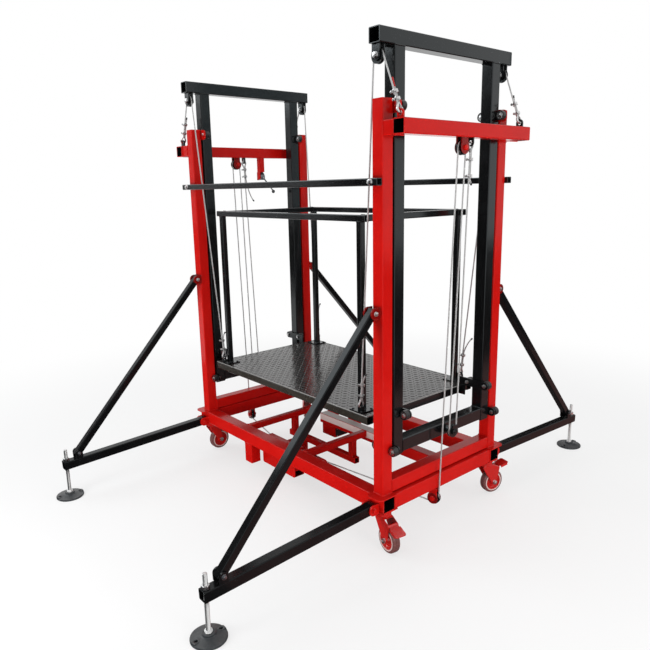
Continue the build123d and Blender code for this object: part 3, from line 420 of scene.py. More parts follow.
coatGrain = newGroup("coatGrain", coatEffect, Peel=700.0, Cloud=9.0)
zincBloom = newGroup("zincBloom", zincEffect, Cells=420.0)
settledDust = newGroup("settledDust", dustEffect, Amount=0.3)
edgeWearAndHighlight = newGroup("edgeWearAndHighlight", edgeWearAndHighlightEffect, Radius=0.0015, Amount=0.5)
scuffs = newGroup("scuffs", scuffEffect, Amount=0.4)
paintedHollowShade = newGroup("paintedHollowShade", paintedShadeEffect, Reach=0.05)
paintedEdgeHighlight = newGroup("paintedEdgeHighlight", paintedEdgeHighlightEffect, Amount=0.8)
paintedReflectionStrip = newGroup("paintedReflectionStrip", paintedReflectionEffect, Line=0.19, End=0.25)


# Finishes
def finish(name, slot, grain, tones, gloss, layers, bump, wave=None, **fixed):
    # the grain sets colour and roughness between two limits each; every layer covers the colour where its
    # mask is bright and dulls it there; a wave adds slow swells to the grain's bumps
    material, tree, shader = newMaterial(name)
    made = useGroup(tree, *grain)
    colour = mixColour(tree, made["Tone"], *tones) if len(tones) > 1 else tones[0]
    rough = remap(tree, made["Tone"], 0.0, 1.0, *gloss)
    for group, values, cover, dulling in layers:
        mask = useGroup(tree, group, values)["Mask"]
        colour = mixColour(tree, mask, colour, cover)
        if dulling:
            rough = maths(tree, "MULTIPLY_ADD", mask, dulling, rough)
    height = made["Height"]
    if wave:
        height = maths(tree, "MULTIPLY_ADD", height, wave["grain"], noise(tree, *wave["swell"]))
    feed(tree, shader, {"Base Color": colour, "Roughness": rough, "Normal": bumped(tree, height, *bump)})
    feed(tree, shader, {plainInputs[key]: value for key, value in fixed.items()})
    return material


plainInputs = {"specular": "Specular IOR Level", "tint": "Specular Tint", "metallic": "Metallic"}
# edge colours: the red's pale pink is a painted edge highlight, the black's lighter grey is partly worn paint
# and partly painted highlight, and the worn rims' grey is bare steel
redLook = {"tones": ((0.50, 0.0055, 0.004), (0.57, 0.0075, 0.005)), "peel": 620.0, "cloud": 7.0, "dust": 0.03,
           "dustColour": (0.55, 0.22, 0.19), "scuff": 0.05, "scuffColour": (0.40, 0.02, 0.015), "edgeWearHighlight": 0.42,
           "edgeWearHighlightRadius": 0.0020, "edgeWearHighlightColour": (0.80, 0.20, 0.17), "rough": 0.15, "specular": 0.17, "tint": 1.0,
           "bump": 0.06, "hollow": 0.05, "paintedShadeColour": (0.020, 0.004, 0.004)}
blackLook = {"tones": ((0.0035, 0.0035, 0.0038), (0.006, 0.006, 0.0064)), "peel": 520.0, "cloud": 8.0,
             "dust": 0.03, "dustColour": 0.12, "scuff": 0.10, "scuffColour": 0.05, "edgeWearHighlight": 0.20,
             "edgeWearHighlightRadius": 0.0010, "edgeWearHighlightColour": 0.10, "rough": 0.15, "specular": 0.5,
             "tint": (0.88, 0.97, 1.0), "bump": 0.07, "hollow": 0.04, "paintedShadeColour": 0.002}
wornRims = {"edgeWearHighlight": 0.75, "edgeWearHighlightRadius": 0.0016, "edgeWearHighlightColour": (0.34, 0.34, 0.33), "rough": 0.24}
# a lighter, rougher brownish black for the deck frame's long sides
brownishTones = ((0.024, 0.020, 0.016), (0.040, 0.034, 0.028))
spinePaintedReflection = (paintedReflectionStrip, {"Line": 0.194, "End": 0.26}, (0.76, 0.63, 0.60), 0)


def paint(name, slot, look, *further):
    # powder coat: clouded colour, dust on top, hair scratches, lighter edges that are partly rubbed paint and
    # partly painted highlight, and painted shade in hollows
    layers = [(settledDust, {"Amount": look["dust"]}, look["dustColour"], 0.35),
              (scuffs, {"Amount": look["scuff"]}, look["scuffColour"], 0),
              (edgeWearAndHighlight, {"Radius": look["edgeWearHighlightRadius"], "Amount": look["edgeWearHighlight"]}, look["edgeWearHighlightColour"], 0),
              # painted shade: hollows take a near-black colour
              (paintedHollowShade, {"Reach": look["hollow"]}, look["paintedShadeColour"], 0.6), *further]
    return finish(name, slot, (coatGrain, {"Peel": look["peel"], "Cloud": look["cloud"]}), look["tones"],
                  (look["rough"] - 0.03, look["rough"] + 0.05), layers, (look["bump"], 0.0006),
                  specular=look["specular"], tint=rgba(look["tint"]))


def metal(name, dark, light, rough, cells=420.0, bump=0.10, metallic=1.0):
    # plated steel: crystals and cloud in colour and gloss
    layers = [(edgeWearAndHighlight, {"Radius": 0.0005, "Amount": 0.5}, (0.85, 0.85, 0.84), 0)]
    return finish(name, "zinc_steel", (zincBloom, {"Cells": cells}), (dark, light),
                  (rough - 0.07, rough + 0.10), layers, (bump, 0.0002), metallic=metallic)


def moulding(name, slot, dark, light, rough, peel, bump):
    # moulded nylon, rubber or plastic: flow clouds, fine grain and a little dust
    layers = [(edgeWearAndHighlight, {"Radius": 0.0010, "Amount": 0.35}, 0.20, 0),
              (settledDust, {"Amount": 0.22}, (0.30, 0.29, 0.28), 0)]
    return finish(name, slot, (coatGrain, {"Peel": peel, "Cloud": 30.0}), (dark, light),
                  (rough - 0.06, rough + 0.08), layers, (bump, 0.0005), specular=0.45)


def makeDeckCoat():
    # glossy black plate, walked grey on the raised pattern, with a pale painted highlight on its upright edge
    # faces
    worn = (0.085, 0.080, 0.077)
    layers = [(scuffs, {"Amount": 0.24}, worn, 0), (edgeWearAndHighlight, {"Radius": 0.0010, "Amount": 0.5}, worn, 0),
              (settledDust, {"Amount": 0.12}, (0.16, 0.155, 0.15), 0.3),
              (paintedEdgeHighlight, {"Amount": 0.8}, (0.32, 0.31, 0.30), 0)]
    wave = {"grain": 0.06, "swell": (34.0, 3.0, 0.55)}
    return finish("deckCoat", "deck_black", (coatGrain, {"Peel": 300.0, "Cloud": 5.0}),
                  ((0.020, 0.018, 0.017),), (0.10, 0.19), layers, (0.34, 0.0030), wave, specular=0.55)


def makeRopeSteel():
    # galvanised wires: fine stripes that cross each strand, darker towards the valleys between the strands
    material, tree, shader = newMaterial("ropeSteel")
    where = put(tree, "UVMap", uv_map="surface").outputs["UV"]
    along, around = put(tree, "SeparateXYZ", {0: where}).outputs[:2]
    lay = maths(tree, "MULTIPLY_ADD", along, 12.0, times(tree, around, 4.0))
    wires = maths(tree, "SINE", times(tree, lay, 2 * pi))
    crown = maths(tree, "ABSOLUTE", maths(tree, "SUBTRACT", maths(tree, "FRACT", around), 0.5))
    cloud = noise(tree, 40.0, 4.0, 0.6)
    tone = times(tree, remap(tree, crown, 0.12, 0.5, 0.35, 1.0), remap(tree, wires, -1.0, 1.0, 0.72, 1.0),
                 remap(tree, cloud, 0.3, 0.7, 0.8, 1.0))
    feed(tree, shader, {"Base Color": mixColour(tree, tone, 0.40, (0.94, 0.94, 0.93)), "Metallic": 0.45,
                        "Roughness": remap(tree, cloud, 0.3, 0.7, 0.34, 0.52),
                        "Normal": bumped(tree, wires, 0.35, 0.0002)})
    return material


redSlot, blackSlot = "red_powder_coat", "black_powder_coat"
nylonSlot, tyreSlot = "black_nylon", "grey_tyre"
redCoat = paint("redCoat", redSlot, redLook)
blackCoat = paint("blackCoat", blackSlot, blackLook)
sheaveBlack = paint("sheaveBlack", blackSlot, {**blackLook, **wornRims})
casterRed = paint("casterRed", redSlot, {**redLook, "rough": 0.13, "specular": 0.85})
# a darker copy of the red paint: painted shade on sheave straps, brace ears and sheave discs
paintedShadeRed = paint("paintedShadeRed", redSlot, {**redLook, "tones": ((0.16, 0.003, 0.003), (0.24, 0.005, 0.004))})
brownishBlack = paint("brownishBlack", blackSlot, {**blackLook, "tones": brownishTones, "rough": 0.26})
armBlack = paint("armBlack", blackSlot, {**blackLook, "specular": 0.2})
spineCoat = paint("spineCoat", redSlot, redLook, spinePaintedReflection)  # a pale strip along the spine's upper left part, a painted reflection
deckCoat = makeDeckCoat()
ropeSteel = makeRopeSteel()
zinc = metal("zinc", (0.55, 0.55, 0.56), (0.84, 0.84, 0.83), 0.30)
castZinc = metal("castZinc", (0.20, 0.21, 0.23), (0.38, 0.39, 0.41), 0.42, 300.0, 0.25)
screwZinc = metal("screwZinc", 0.62, (0.86, 0.86, 0.85), 0.34)
paleZinc = metal("paleZinc", (0.74, 0.75, 0.75), (0.90, 0.90, 0.89), 0.38, metallic=0.25)
nylon = moulding("nylon", nylonSlot, (0.010, 0.010, 0.011), (0.022, 0.022, 0.023), 0.34, 900.0, 0.10)
padPlastic = moulding("padPlastic", nylonSlot, (0.022, 0.025, 0.028), (0.040, 0.044, 0.048), 0.36, 700.0,
                      0.22)
rimHighlightPlastic = moulding("rimHighlightPlastic", tyreSlot, (0.62, 0.44, 0.42), (0.74, 0.56, 0.53), 0.30, 500.0, 0.08)
tyreRubber = moulding("tyreRubber", tyreSlot, (0.13, 0.045, 0.042), (0.20, 0.085, 0.080), 0.26, 800.0, 0.10)
redTape = moulding("redTape", redSlot, (0.42, 0.008, 0.008), (0.52, 0.014, 0.012), 0.42, 700.0, 0.10)

sheaveKinds = ("top_sheaves", "crossbeam_sheave", "lower_sheave", "base_sheave")
nodeFinish = {
    redCoat: ["base_frame", "left_mast_frame", "right_mast_frame", "winch_housing", "control_box"],
    casterRed: [corner + "_caster_fork" for corner in corners]
    + ["front_right_caster_pedal", "rear_right_caster_pedal"],
    blackCoat: ["tie_rails", "left_inner_mast", "right_inner_mast", "deck_frame", "guard_frame"],
    armBlack: ["outriggers"],
    deckCoat: ["deck_plate"],
    zinc: ["winch_drum"],
    sheaveBlack: [f"{side}_{kind}" for side in sides for kind in sheaveKinds],
}
for material, names in nodeFinish.items():
    for name in names:
        nodes[name].data.materials.clear()
        nodes[name].data.materials.append(material)

# Faces with a finish of their own, by limits of x, y and z; |x| and |y| are without their signs
# the inside zones are the inner walls of open tube ends, which take black paint as painted shade
mastZones = {"anchors": {"|x|": (700, 800), "z": (1564.5, 1700)},
             "rearAnchors": {"|x|": (700, 800), "y": (0, 400), "z": (1564.5, 1700)},
             "deadEnds": {"|x|": (710, 800), "y": (14, 22), "z": (1470, 1513.5)},
             "inside": {"|x|": (708.5, 753.5), "z": (1516.5, 1561.5)},
             "straps": {"|x|": (691, 771), "y": (-70, 10), "z": (1440, 1513.5)},
             "ears": {"|y|": (350.5, 420), "z": (880, 960)}}
baseZones = {"inside": {"|x|": (-1, 669.5), "|y|": (303.5, 358.5), "z": (167.5, 222.5)},
             "straps": {"|x|": (620.5, 690.5), "y": (-90.6, -20.6), "z": (90, 164.5)},
             "spineTop": {"x": (-189.5, 609.5), "y": (56.5, 107.5), "z": (224.5, 225.5)},
             "spineFront": {"x": (-189.5, 609.5), "y": (56.5, 57.5), "z": (176, 225.5)}}
deckZones = {"longSides": {"|y|": (319.5, 400)}}


def giveFaces(node, zones, *finishes):
    # each further finish goes to the faces whose centres lie in one of its zones
    mesh = nodes[node].data
    flat = np.empty(len(mesh.polygons) * 3, np.float32)
    mesh.polygons.foreach_get("center", flat)
    centre = dict(zip("xyz", flat.reshape(-1, 3).T / mm))
    centre.update({f"|{axis}|": np.abs(centre[axis]) for axis in "xy"})
    choice = np.zeros(len(mesh.polygons), np.int32)
    for index, (material, names) in enumerate(finishes, 1):
        mesh.materials.append(material)
        for limits in (zones[name] for name in names):
            within = [(centre[axis] > low) & (centre[axis] < high) for axis, (low, high) in limits.items()]
            choice[np.logical_and.reduce(within)] = index
    mesh.polygons.foreach_set("material_index", choice)


# Rope lugs are black; tube insides are painted black as painted shade; sheave straps and brace ears take a
# darker red as painted shade; the deck frame's long sides are a lighter brownish black
for side, lugs in (("left", "anchors"), ("right", "rearAnchors")):
    giveFaces(side + "_mast_frame", mastZones, (blackCoat, (lugs, "deadEnds", "inside")),
              (paintedShadeRed, ("straps", "ears")))
giveFaces("base_frame", baseZones, (blackCoat, ("inside",)), (paintedShadeRed, ("straps",)),
          (spineCoat, ("spineTop", "spineFront")))
giveFaces("deck_frame", deckZones, (brownishBlack, ("longSides",)))
print("finishes made:", len(bpy.data.materials))

# Wire ropes
rope = {"diameter": 6, "lay": 39, "strands": 6, "ringsPerLay": 12, "pointsPerStrand": 4}
reeving = {"pitch": 21, "topSheaveY": 340, "anchorHole": (722, 335, 1580), "deckHole": (495, 306, 525),
           "deadHole": (731, 18, 1498), "lead": 26, "drumRadius": 30, "drumPitch": 6.6, "drumTurns": 2.5,
           "drumY": {"left": -188, "right": -216}, "ringsPerTurn": 48}
ropeEnd = {"eye": 11, "lean": 66, "pull": 16, "tailOffset": 6.3, "throat": 36, "clipHalf": 6, "tape": 3.5,
           "redTape": 20, "bendRings": 8, "tailRings": 12, "leave": 0.8, "arrive": (0.5, 1.6)}
thimble = {"from": 50, "tip": 14, "split": 0.9, "wrap": 105, "outer": 4.3, "inner": 3.25, "step": 2.0,
           "wallPoints": 9}
clip = {"bow": 5.7, "bar": 2.4, "leg": -13, "groove": 3.2, "seat": 7.6, "nut": (8.6, 4.4, 1.6),
        "flank": ((6, -1), (10, -3.2), (10, -6.6), (7.5, -7.6)), "length": (-6, -5, 5, 6),
        "taper": (0.92, 1.0, 1.0, 0.92), "legStep": 4, "bowStep": 1.5, "barPoints": 12, "groovePoints": 9}
endLooks = {
    "anchor": {"clips": (46, 72), "stub": 104, "tail": (112, 10), "sleeve": 10},
    "deck": {"clips": (48, 92), "stub": 104, "tail": (128, 21), "sleeve": 8},
    "dead": {"clips": (58, 116), "stub": 123, "tail": (146, 16), "sleeve": 8},
    "anchor right front": {"tail": (118, 9), "sleeve": 30},
    "anchor right rear": {"clips": (40, 78)},
    "anchor left front": {"clips": (48, 90), "tail": (122, 7)},
    "deck right rear": {"tail": (158, 52)},
    "deck left rear": {"tail": (190, 30)},
    "dead left": {"clips": (44, 80), "stub": 88, "tail": (208, 46)},
}
ropeStep = rope["lay"] / rope["ringsPerLay"]


def straight(a, b, step=ropeStep):
    # evenly spaced points from a to b
    return np.linspace(a, b, max(2, ceil(np.linalg.norm(np.subtract(b, a)) / step) + 1))


def arcRun(centre, across, up, start, stop, radius, step=ropeStep):
    # centre plus radius times (across cos t + up sin t), t from start to stop in degrees
    count = max(3, ceil(abs(radians(stop - start)) * radius / step) + 1)
    turn = np.linspace(radians(start), radians(stop), count)[:, None]
    return centre + radius * (across * np.cos(turn) + up * np.sin(turn))


def cubicRun(start, startWay, end, endWay, count):
    # cubic from start to end that leaves and arrives along the two given ways
    t = np.linspace(0, 1, count)[:, None]
    return ((2 * t ** 3 - 3 * t ** 2 + 1) * start + (t ** 3 - 2 * t ** 2 + t) * startWay
            + (3 * t ** 2 - 2 * t ** 3) * end + (t ** 3 - t ** 2) * endWay)


def chained(runs):
    # runs laid end to end, each without the point that it shares with the run before
    return np.concatenate([runs[0]] + [run[1:] for run in runs[1:]])


def distances(path):
    # how far along the path each of its points is
    return np.concatenate(([0], np.cumsum(np.linalg.norm(np.diff(path, axis=0), axis=1))))


def strandedRope(path, across):
    # six round strands of radius a = R / 3 about d = 2 R / 3: at an angle p from a strand's crown the outline
    # is d cos p + sqrt(a^2 - d^2 sin^2 p), and it turns once about the rope in each lay
    radius = rope["diameter"] / 2
    count = rope["strands"] * rope["pointsPerStrand"]
    spot = around(count)
    share = pi / rope["strands"]
    p = (spot + share) % (2 * share) - share
    a, d = radius / 3, 2 * radius / 3
    outline = d * np.cos(p) + np.sqrt(np.maximum(a * a - (d * np.sin(p)) ** 2, 0))
    gone = distances(path)
    turn = spot + 2 * pi * gone[:, None] / rope["lay"]
    return swept(path, circled(turn, outline), across, span=(gone[-1] / rope["lay"], rope["strands"]))


def touchPoint(hole, centre, way):
    # where a line from the hole touches the top sheave's pitch circle, in the sheave's upright plane
    gap = hole - centre
    angle = atan2(gap[2], gap[0]) + way * np.arccos(reeving["pitch"] / hypot(gap[0], gap[2]))
    return centre + reeving["pitch"] * np.array((cos(angle), 0, sin(angle))), np.degrees(angle)


def endFrame(hole, touch):
    # the rope's way out of the hole, the way across it in which the hole runs, and the third square to both
    way = unit(touch - hole)
    across = unit(yAxis - way * (yAxis @ way))
    return way, across, np.cross(way, across)


def endLook(kind, *spots):
    # the look of one rope end: its kind's, with what is its own on top
    return {**endLooks[kind], **endLooks.get(" ".join((kind,) + spots), {})}


def ropeEye(hole, touch, look):
    # rope through the hole: straight leg, round the eye's circle, back beside itself, and a loose tail
    way, across, third = endFrame(hole, touch)
    eye, pull, throat, offset = (ropeEnd[key] for key in ("eye", "pull", "throat", "tailOffset"))
    bends, ends = ropeEnd["bendRings"], ropeEnd["tailRings"]
    lean = radians(ropeEnd["lean"])
    near = np.array((eye + eye * cos(lean), -eye * sin(lean)))
    slope = pull * np.array((-sin(lean), -cos(lean)))
    clipEnd = look["clips"][1] + ropeEnd["clipHalf"]
    reach, aside = look["tail"][0] - clipEnd, look["tail"][1] - offset
    flat = chained([
        straight((look["stub"], 0), (throat, 0)),
        cubicRun((throat, 0), (-pull, 0), near, slope, bends),
        arcRun((eye, 0), (1, 0), (0, 1), -ropeEnd["lean"], ropeEnd["lean"] - 360, eye),
        cubicRun(near * (1, -1), slope * (-1, 1), (throat, offset), (pull, 0), bends),
        straight((throat, offset), (clipEnd, offset)),
        cubicRun((clipEnd, offset), (reach * ropeEnd["leave"], 0), look["tail"],
                 np.multiply((reach, aside), ropeEnd["arrive"]), max(ends, int(reach / ropeStep))),
    ])
    path = spread(hole, flat, way, across)
    left = np.linalg.norm(path - path[-1], axis=1)
    tip = path[(left <= look["sleeve"]) & (np.arange(len(path)) > len(path) / 2)]
    sleeve = swept(np.concatenate((tip, tip[-1:] * 2 - tip[-2:-1])), ringOutline(ropeEnd["tape"]), third)
    return strandedRope(path, third), hole + way * look["stub"], sleeve


def ropeHardware(hole, touch, look):
    # thimble: a bent channel inside the eye; clips: saddle on the live rope, bow round the tail, two nuts
    way, across, third = endFrame(hole, touch)
    eye, offset, bow = ropeEnd["eye"], ropeEnd["tailOffset"], clip["bow"]
    flat = arcRun((eye, 0), (1, 0), (0, 1), thimble["from"], 360 - thimble["from"], eye,
                  thimble["step"])
    tip = (flat[:1] + flat[-1:]) / 2 + (thimble["tip"], 0)
    split = (0, thimble["split"])
    flat = np.concatenate((tip + split, flat, tip - split))
    arc = circled(pi / 2 - np.linspace(-1, 1, thimble["wallPoints"]) * radians(thimble["wrap"]))
    wall = np.concatenate((arc * thimble["outer"], arc[::-1] * thimble["inner"]))
    parts = [swept(spread(hole, flat, way, across), wall, third)]
    legs = chained([straight((clip["leg"], -bow), (offset, -bow), clip["legStep"]),
                    arcRun((offset, 0), (0, 1), (1, 0), 180, 0, bow, clip["bowStep"]),
                    straight((offset, bow), (clip["leg"], bow), clip["legStep"])])
    notch = circled(np.linspace(pi, 2 * pi, clip["groovePoints"]), clip["groove"])
    flank = np.array(clip["flank"])
    saddle = np.concatenate((notch, flank, flank[::-1] * (-1, 1)))
    run, taper = np.array(clip["length"])[:, None], np.array(clip["taper"])[:, None, None]
    for spot in look["clips"]:
        at = hole + spot * way
        seats = [at - clip["seat"] * across + turned * bow * third for turned in (-1, 1)]
        parts += [swept(spread(at, legs, across, third), ringOutline(clip["bar"], clip["barPoints"]), way),
                  swept(at + run * way, saddle * taper, third),
                  copies(hexBlock(*clip["nut"]), seats, -across)]
    return parts


def layEnd(body, hole, touch, look):
    # an eye with its hardware and the tape on its tail; gives back where the rope's own run starts
    rest, start, sleeve = ropeEye(hole, touch, look)
    laid[body + "RopeEyes"].append(rest)
    laid["redRopeTape" if look["sleeve"] > ropeEnd["redTape"] else body + "RopeTape"].append(sleeve)
    laid[body + "RopeClips"].extend(ropeHardware(hole, touch, look))
    return start


def sheaveCentre(name, y=None):
    # the middle of a sheave, or of one sheave of a pair at its own y
    centre = place(name + "_spin")
    return centre if y is None else np.array((centre[0], y, centre[2]))


def heights(parts):
    # lowest and highest z of all the parts
    tall = np.concatenate([part[0][:, 2] for part in parts])
    return tall.min(), tall.max()


def shortens(piece, held, free):
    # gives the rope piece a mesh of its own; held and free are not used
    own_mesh(piece)


def alike(way, other):
    # the way or its opposite, whichever lies nearer to the other
    return way if way @ other >= 0 else -way


pitch, lead = reeving["pitch"], reeving["lead"]
for side, sign in sides.items():
    for end, spot in ((-1, "front"), (1, "rear")):
        centre = sheaveCentre(side + "_top_sheaves", end * reeving["topSheaveY"])
        anchor, deck = (np.array(reeving[key]) * (sign, end, 1) for key in ("anchorHole", "deckHole"))
        anchorTouch, anchorAngle = touchPoint(anchor, centre, sign)
        deckTouch, deckAngle = touchPoint(deck, centre, -sign)
        for kind, body, hole, touch, piece in (("anchor", "base", anchor, anchorTouch, side + "AnchorRopes"),
                                               ("deck", "platform", deck, deckTouch, "deckRopes")):
            start = layEnd(body, hole, touch, endLook(kind, side, spot))
            laid[piece].append(strandedRope(straight(start, touch), yAxis))
        sweep = (deckAngle - anchorAngle) % (360 * sign)
        over = arcRun(centre, xAxis, zAxis, anchorAngle, anchorAngle + sweep, pitch)
        laid[side + "SheaveRopes"].append(strandedRope(over, yAxis))
    lower, cross, base = (sheaveCentre(f"{side}_{kind}_sheave") for kind in ("lower", "crossbeam", "base"))
    dead = np.array(reeving["deadHole"]) * (sign, 1, 1)
    fallTouch, deadTouch, crossTouch = lower - pitch * yAxis, lower + pitch * yAxis, cross + pitch * yAxis
    # a lead stays with each sheave, so that a short fall's lean never cuts its rim
    fallLow = fallTouch + unit(crossTouch - fallTouch) * lead
    fallHigh = crossTouch + unit(fallTouch - crossTouch) * lead
    deadLow = deadTouch + unit(dead - deadTouch) * lead
    under = chained([straight(fallLow, fallTouch), arcRun(lower, yAxis, zAxis, 180, 360, pitch),
                     straight(deadTouch, deadLow)])
    laid[side + "SheaveRopes"].append(strandedRope(under, xAxis))
    laid["hoistFalls"].append(strandedRope(straight(fallLow, fallHigh), xAxis))
    start = layEnd("base", dead, deadTouch, endLook("dead", side))
    deadFall = addPiece(side + "DeadFall", [strandedRope(straight(start, deadLow), xAxis)], ropeSteel, "base",
                        "hoist_rope_falls")
    shortens(deadFall, start[2], deadLow[2])
    # hoist rope over the crossbeam sheave, down, under the base sheave and on to the drum
    drum = place("winch_drum_spin") * (1, 0, 1) + reeving["drumY"][side] * yAxis
    rimPoint = drum + sign * reeving["drumRadius"] * zAxis
    heading = unit((rimPoint - base) * (1, 1, 0))
    wound = reeving["drumTurns"]
    turns = np.linspace(0, wound, int(wound * reeving["ringsPerTurn"]) + 1)[:, None]
    angle = sign * pi / 2 + turns * 2 * pi
    coil = drum + np.concatenate((reeving["drumRadius"] * np.cos(angle), -reeving["drumPitch"] * turns,
                                  reeving["drumRadius"] * np.sin(angle)), 1)
    runs = [straight(fallHigh, crossTouch), arcRun(cross, yAxis, zAxis, 0, 180, pitch),
            straight(cross - pitch * yAxis, base - heading * pitch),
            arcRun(base, heading, zAxis, 180, 270, pitch), straight(base - pitch * zAxis, rimPoint), coil]
    baseAxle = alike(np.array((-heading[1], heading[0], 0)), xAxis)
    drumAxle = alike(yAxis, baseAxle)
    guides = (xAxis, xAxis, xAxis, baseAxle, baseAxle, drumAxle, drumAxle)
    across = [np.linspace(guides[i], guides[i + 1], len(run)) for i, run in enumerate(runs)]
    laid["hoistRopes"].append(strandedRope(chained(runs), chained(across)))

addLaid("hoistRopes", ropeSteel, "base", "hoist_rope_runs", "drum_rope")
falls = addLaid("hoistFalls", ropeSteel, "base", "hoist_rope_falls")
shortens(falls, fallHigh[2], fallLow[2])
decks = addLaid("deckRopes", ropeSteel, "platform", "platform_ropes")
shortens(decks, *heights(laid["deckRopes"]))
for side in sides:
    addLaid(side + "SheaveRopes", ropeSteel, side + "_mast", side + "_rope_arcs")
    anchors = addLaid(side + "AnchorRopes", ropeSteel, None, "anchor_ropes")
    low, high = heights(laid[side + "AnchorRopes"])
    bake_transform(anchors)
for body, fittings in (("base", "frame_fittings"), ("platform", "platform_fittings")):
    addLaid(body + "RopeEyes", ropeSteel, body)
    addLaid(body + "RopeClips", zinc, body, fittings)
    addLaid(body + "RopeTape", nylon, body)
addLaid("redRopeTape", redTape, "base")

# Bolts, nuts and roller axles; a bolt is its thread, wrench size, head height, washer radius and thread end
bolts = {"arm": (12, 18, 6, 12, 3), "brace": (8, 13, 5.3, 9, 2), "sheave": (12, 18, 6, 11, 3),
         "topSheave": (12, 18, 6, 11, 2), "tie": (10, 16, 6, 11.5, 2)}
grips = {"arm": 51, "brace": 43, "sheave": 27, "tie": 28}
fitting = {"washer": 1.5, "slack": 0.1, "disc": (23, 1.2), "tie": (631, 375, 1367.5), "frontTieShift": 10,
           "armNut": (24, 13, 8.05), "armNutHalf": 15}
axle = {"thread": 10, "head": (15, 5.6), "plate": 6, "collar": 8, "gap": 0.3, "washer": (8.5, 1.2), "cap": 13}
axles = {"guide": {"spacer": 3, "cap": 0.8, "y": 300, "way": -1, "piece": "frameBolts"},
         "deck": {"spacer": 3, "cap": 2.6, "y": 234, "way": 1, "piece": "deckAxles"},
         "foot": {"spacer": 4, "cap": 5, "y": 292, "way": 1, "piece": "MastBolts"}}
roller = {"radius": 18, "bearing": 12.5, "bore": 5.05, "width": 20}
sheavePin = {"radius": 6, "length": 48, "headAt": 49, "head": (18, 6), "washer": (12, 1.5), "start": 656}
outrigger = {"x": 621, "pivotY": 387, "pivotZ": 180, "braceTopY": 370, "braceTopZ": 920, "screwY": 1080,
             "tipZ": 153, "armTube": 38, "clevisBack": 55, "clevisRise": 23}


def crossBolt(grip, thread, wrench, head, ring, tip):
    # head and washer before the grip, washer, nut and thread end after it; z runs from the head to the end
    thick = fitting["washer"]
    disc = washer(thread / 2, ring, thick)
    return joined([lifted(flipped(hexBlock(wrench, head)), -thick), lifted(disc, -thick), lifted(disc, grip),
                   lifted(hexBlock(wrench, head, thread / 2, True), grip + thick),
                   studEnd(thread / 2 - fitting["slack"], grip + thick + head + tip)])


def rollerAxle(spacer, cap):
    # hex head outside its plate, spacer collar, shank, and the washer and low head that hold the roller on
    radius, gap, plate = axle["thread"] / 2, axle["gap"], axle["plate"]
    reach = plate + spacer + roller["width"]
    ring = washer(0, *axle["washer"])
    return joined([flipped(hexBlock(*axle["head"])), rod(radius, 0, reach),
                   lifted(washer(radius, axle["collar"], spacer - gap), plate), lifted(ring, reach + gap),
                   lifted(hexBlock(axle["cap"], cap), reach + gap + axle["washer"][1])])


bothWays = np.array((-yAxis, yAxis))
rollerSets = [(side, kind, row) for side in sides for kind in ("guide", "foot", "deck")
              for row in ("outer", "inner")]
slope = atan2(outrigger["pivotZ"] - outrigger["tipZ"], outrigger["screwY"] - outrigger["pivotY"])
alongArm = (outrigger["screwY"] - outrigger["pivotY"]) / cos(slope) - outrigger["clevisBack"]
riseArm = outrigger["armTube"] / 2 + outrigger["clevisRise"]
clevisY = outrigger["pivotY"] + alongArm * cos(slope) + riseArm * sin(slope)
clevisZ = outrigger["pivotZ"] - alongArm * sin(slope) + riseArm * cos(slope)
nutGap = outrigger["armTube"] / 2 / cos(slope) + fitting["armNutHalf"] * sin(slope)
armBolts = (("redBolts", "arm", outrigger["pivotY"], outrigger["pivotZ"]),
            ("clevisBolts", "brace", clevisY, clevisZ),
            ("frameBolts", "brace", outrigger["braceTopY"], outrigger["braceTopZ"]))
for sx, sy in corners.values():
    for piece, kind, y, z in armBolts:
        origin = (sx * (outrigger["x"] + grips[kind] / 2), sy * y, z)
        laid[piece].append(copies(crossBolt(grips[kind], *bolts[kind]), origin, -sx * xAxis))
    tie = np.array(fitting["tie"]) * (sx, sy, 1) - (fitting["frontTieShift"] * (sy < 0), 0, 0)
    seat = (sx * outrigger["x"], sy * outrigger["screwY"], outrigger["tipZ"] + nutGap)
    laid["frameBolts"] += [copies(crossBolt(grips["tie"], *bolts["tie"]), tie, -sy * yAxis),
                           copies(hexBlock(*fitting["armNut"], True), seat, zAxis)]
for side, kind, row in rollerSets:
    look = axles[kind]
    name = side + look["piece"] if kind == "foot" else look["piece"]
    middle = place(f"{side}_{kind}_rollers_{row}_spin") * (1, 0, 1)
    laid[name].append(copies(rollerAxle(look["spacer"], look["cap"]), middle + look["y"] * bothWays,
                             look["way"] * bothWays))
half = grips["sheave"] / 2
disc = washer(bolts["sheave"][0] / 2, *fitting["disc"])
for side, sign in sides.items():
    baseAxle = alike(np.array(joints[side + "_base_sheave_spin"]["axis"], float), yAxis)
    for kind, way in (("_crossbeam_sheave", -sign * xAxis), ("_base_sheave", baseAxle)):
        centre = sheaveCentre(side + kind)
        laid["redBolts"].append(copies(crossBolt(2 * half, *bolts["sheave"]), centre - half * way, way))
        laid["sheaveDiscs"] += [copies(disc, centre + half * out, out) for out in (way, -way)]
addLaid("frameBolts", zinc, "base", "frame_fittings")
addLaid("clevisBolts", castZinc, "base", "frame_fittings")
addLaid("redBolts", redCoat, "base", "frame_fittings")
addLaid("sheaveDiscs", paintedShadeRed, "base")
addLaid("deckAxles", zinc, "platform", "platform_fittings")
headed = joined([lifted(hexBlock(*sheavePin["head"]), sheavePin["headAt"]),
                 lifted(washer(0, *sheavePin["washer"]), sheavePin["headAt"] - sheavePin["washer"][1]),
                 rod(sheavePin["radius"], 0, sheavePin["length"])])
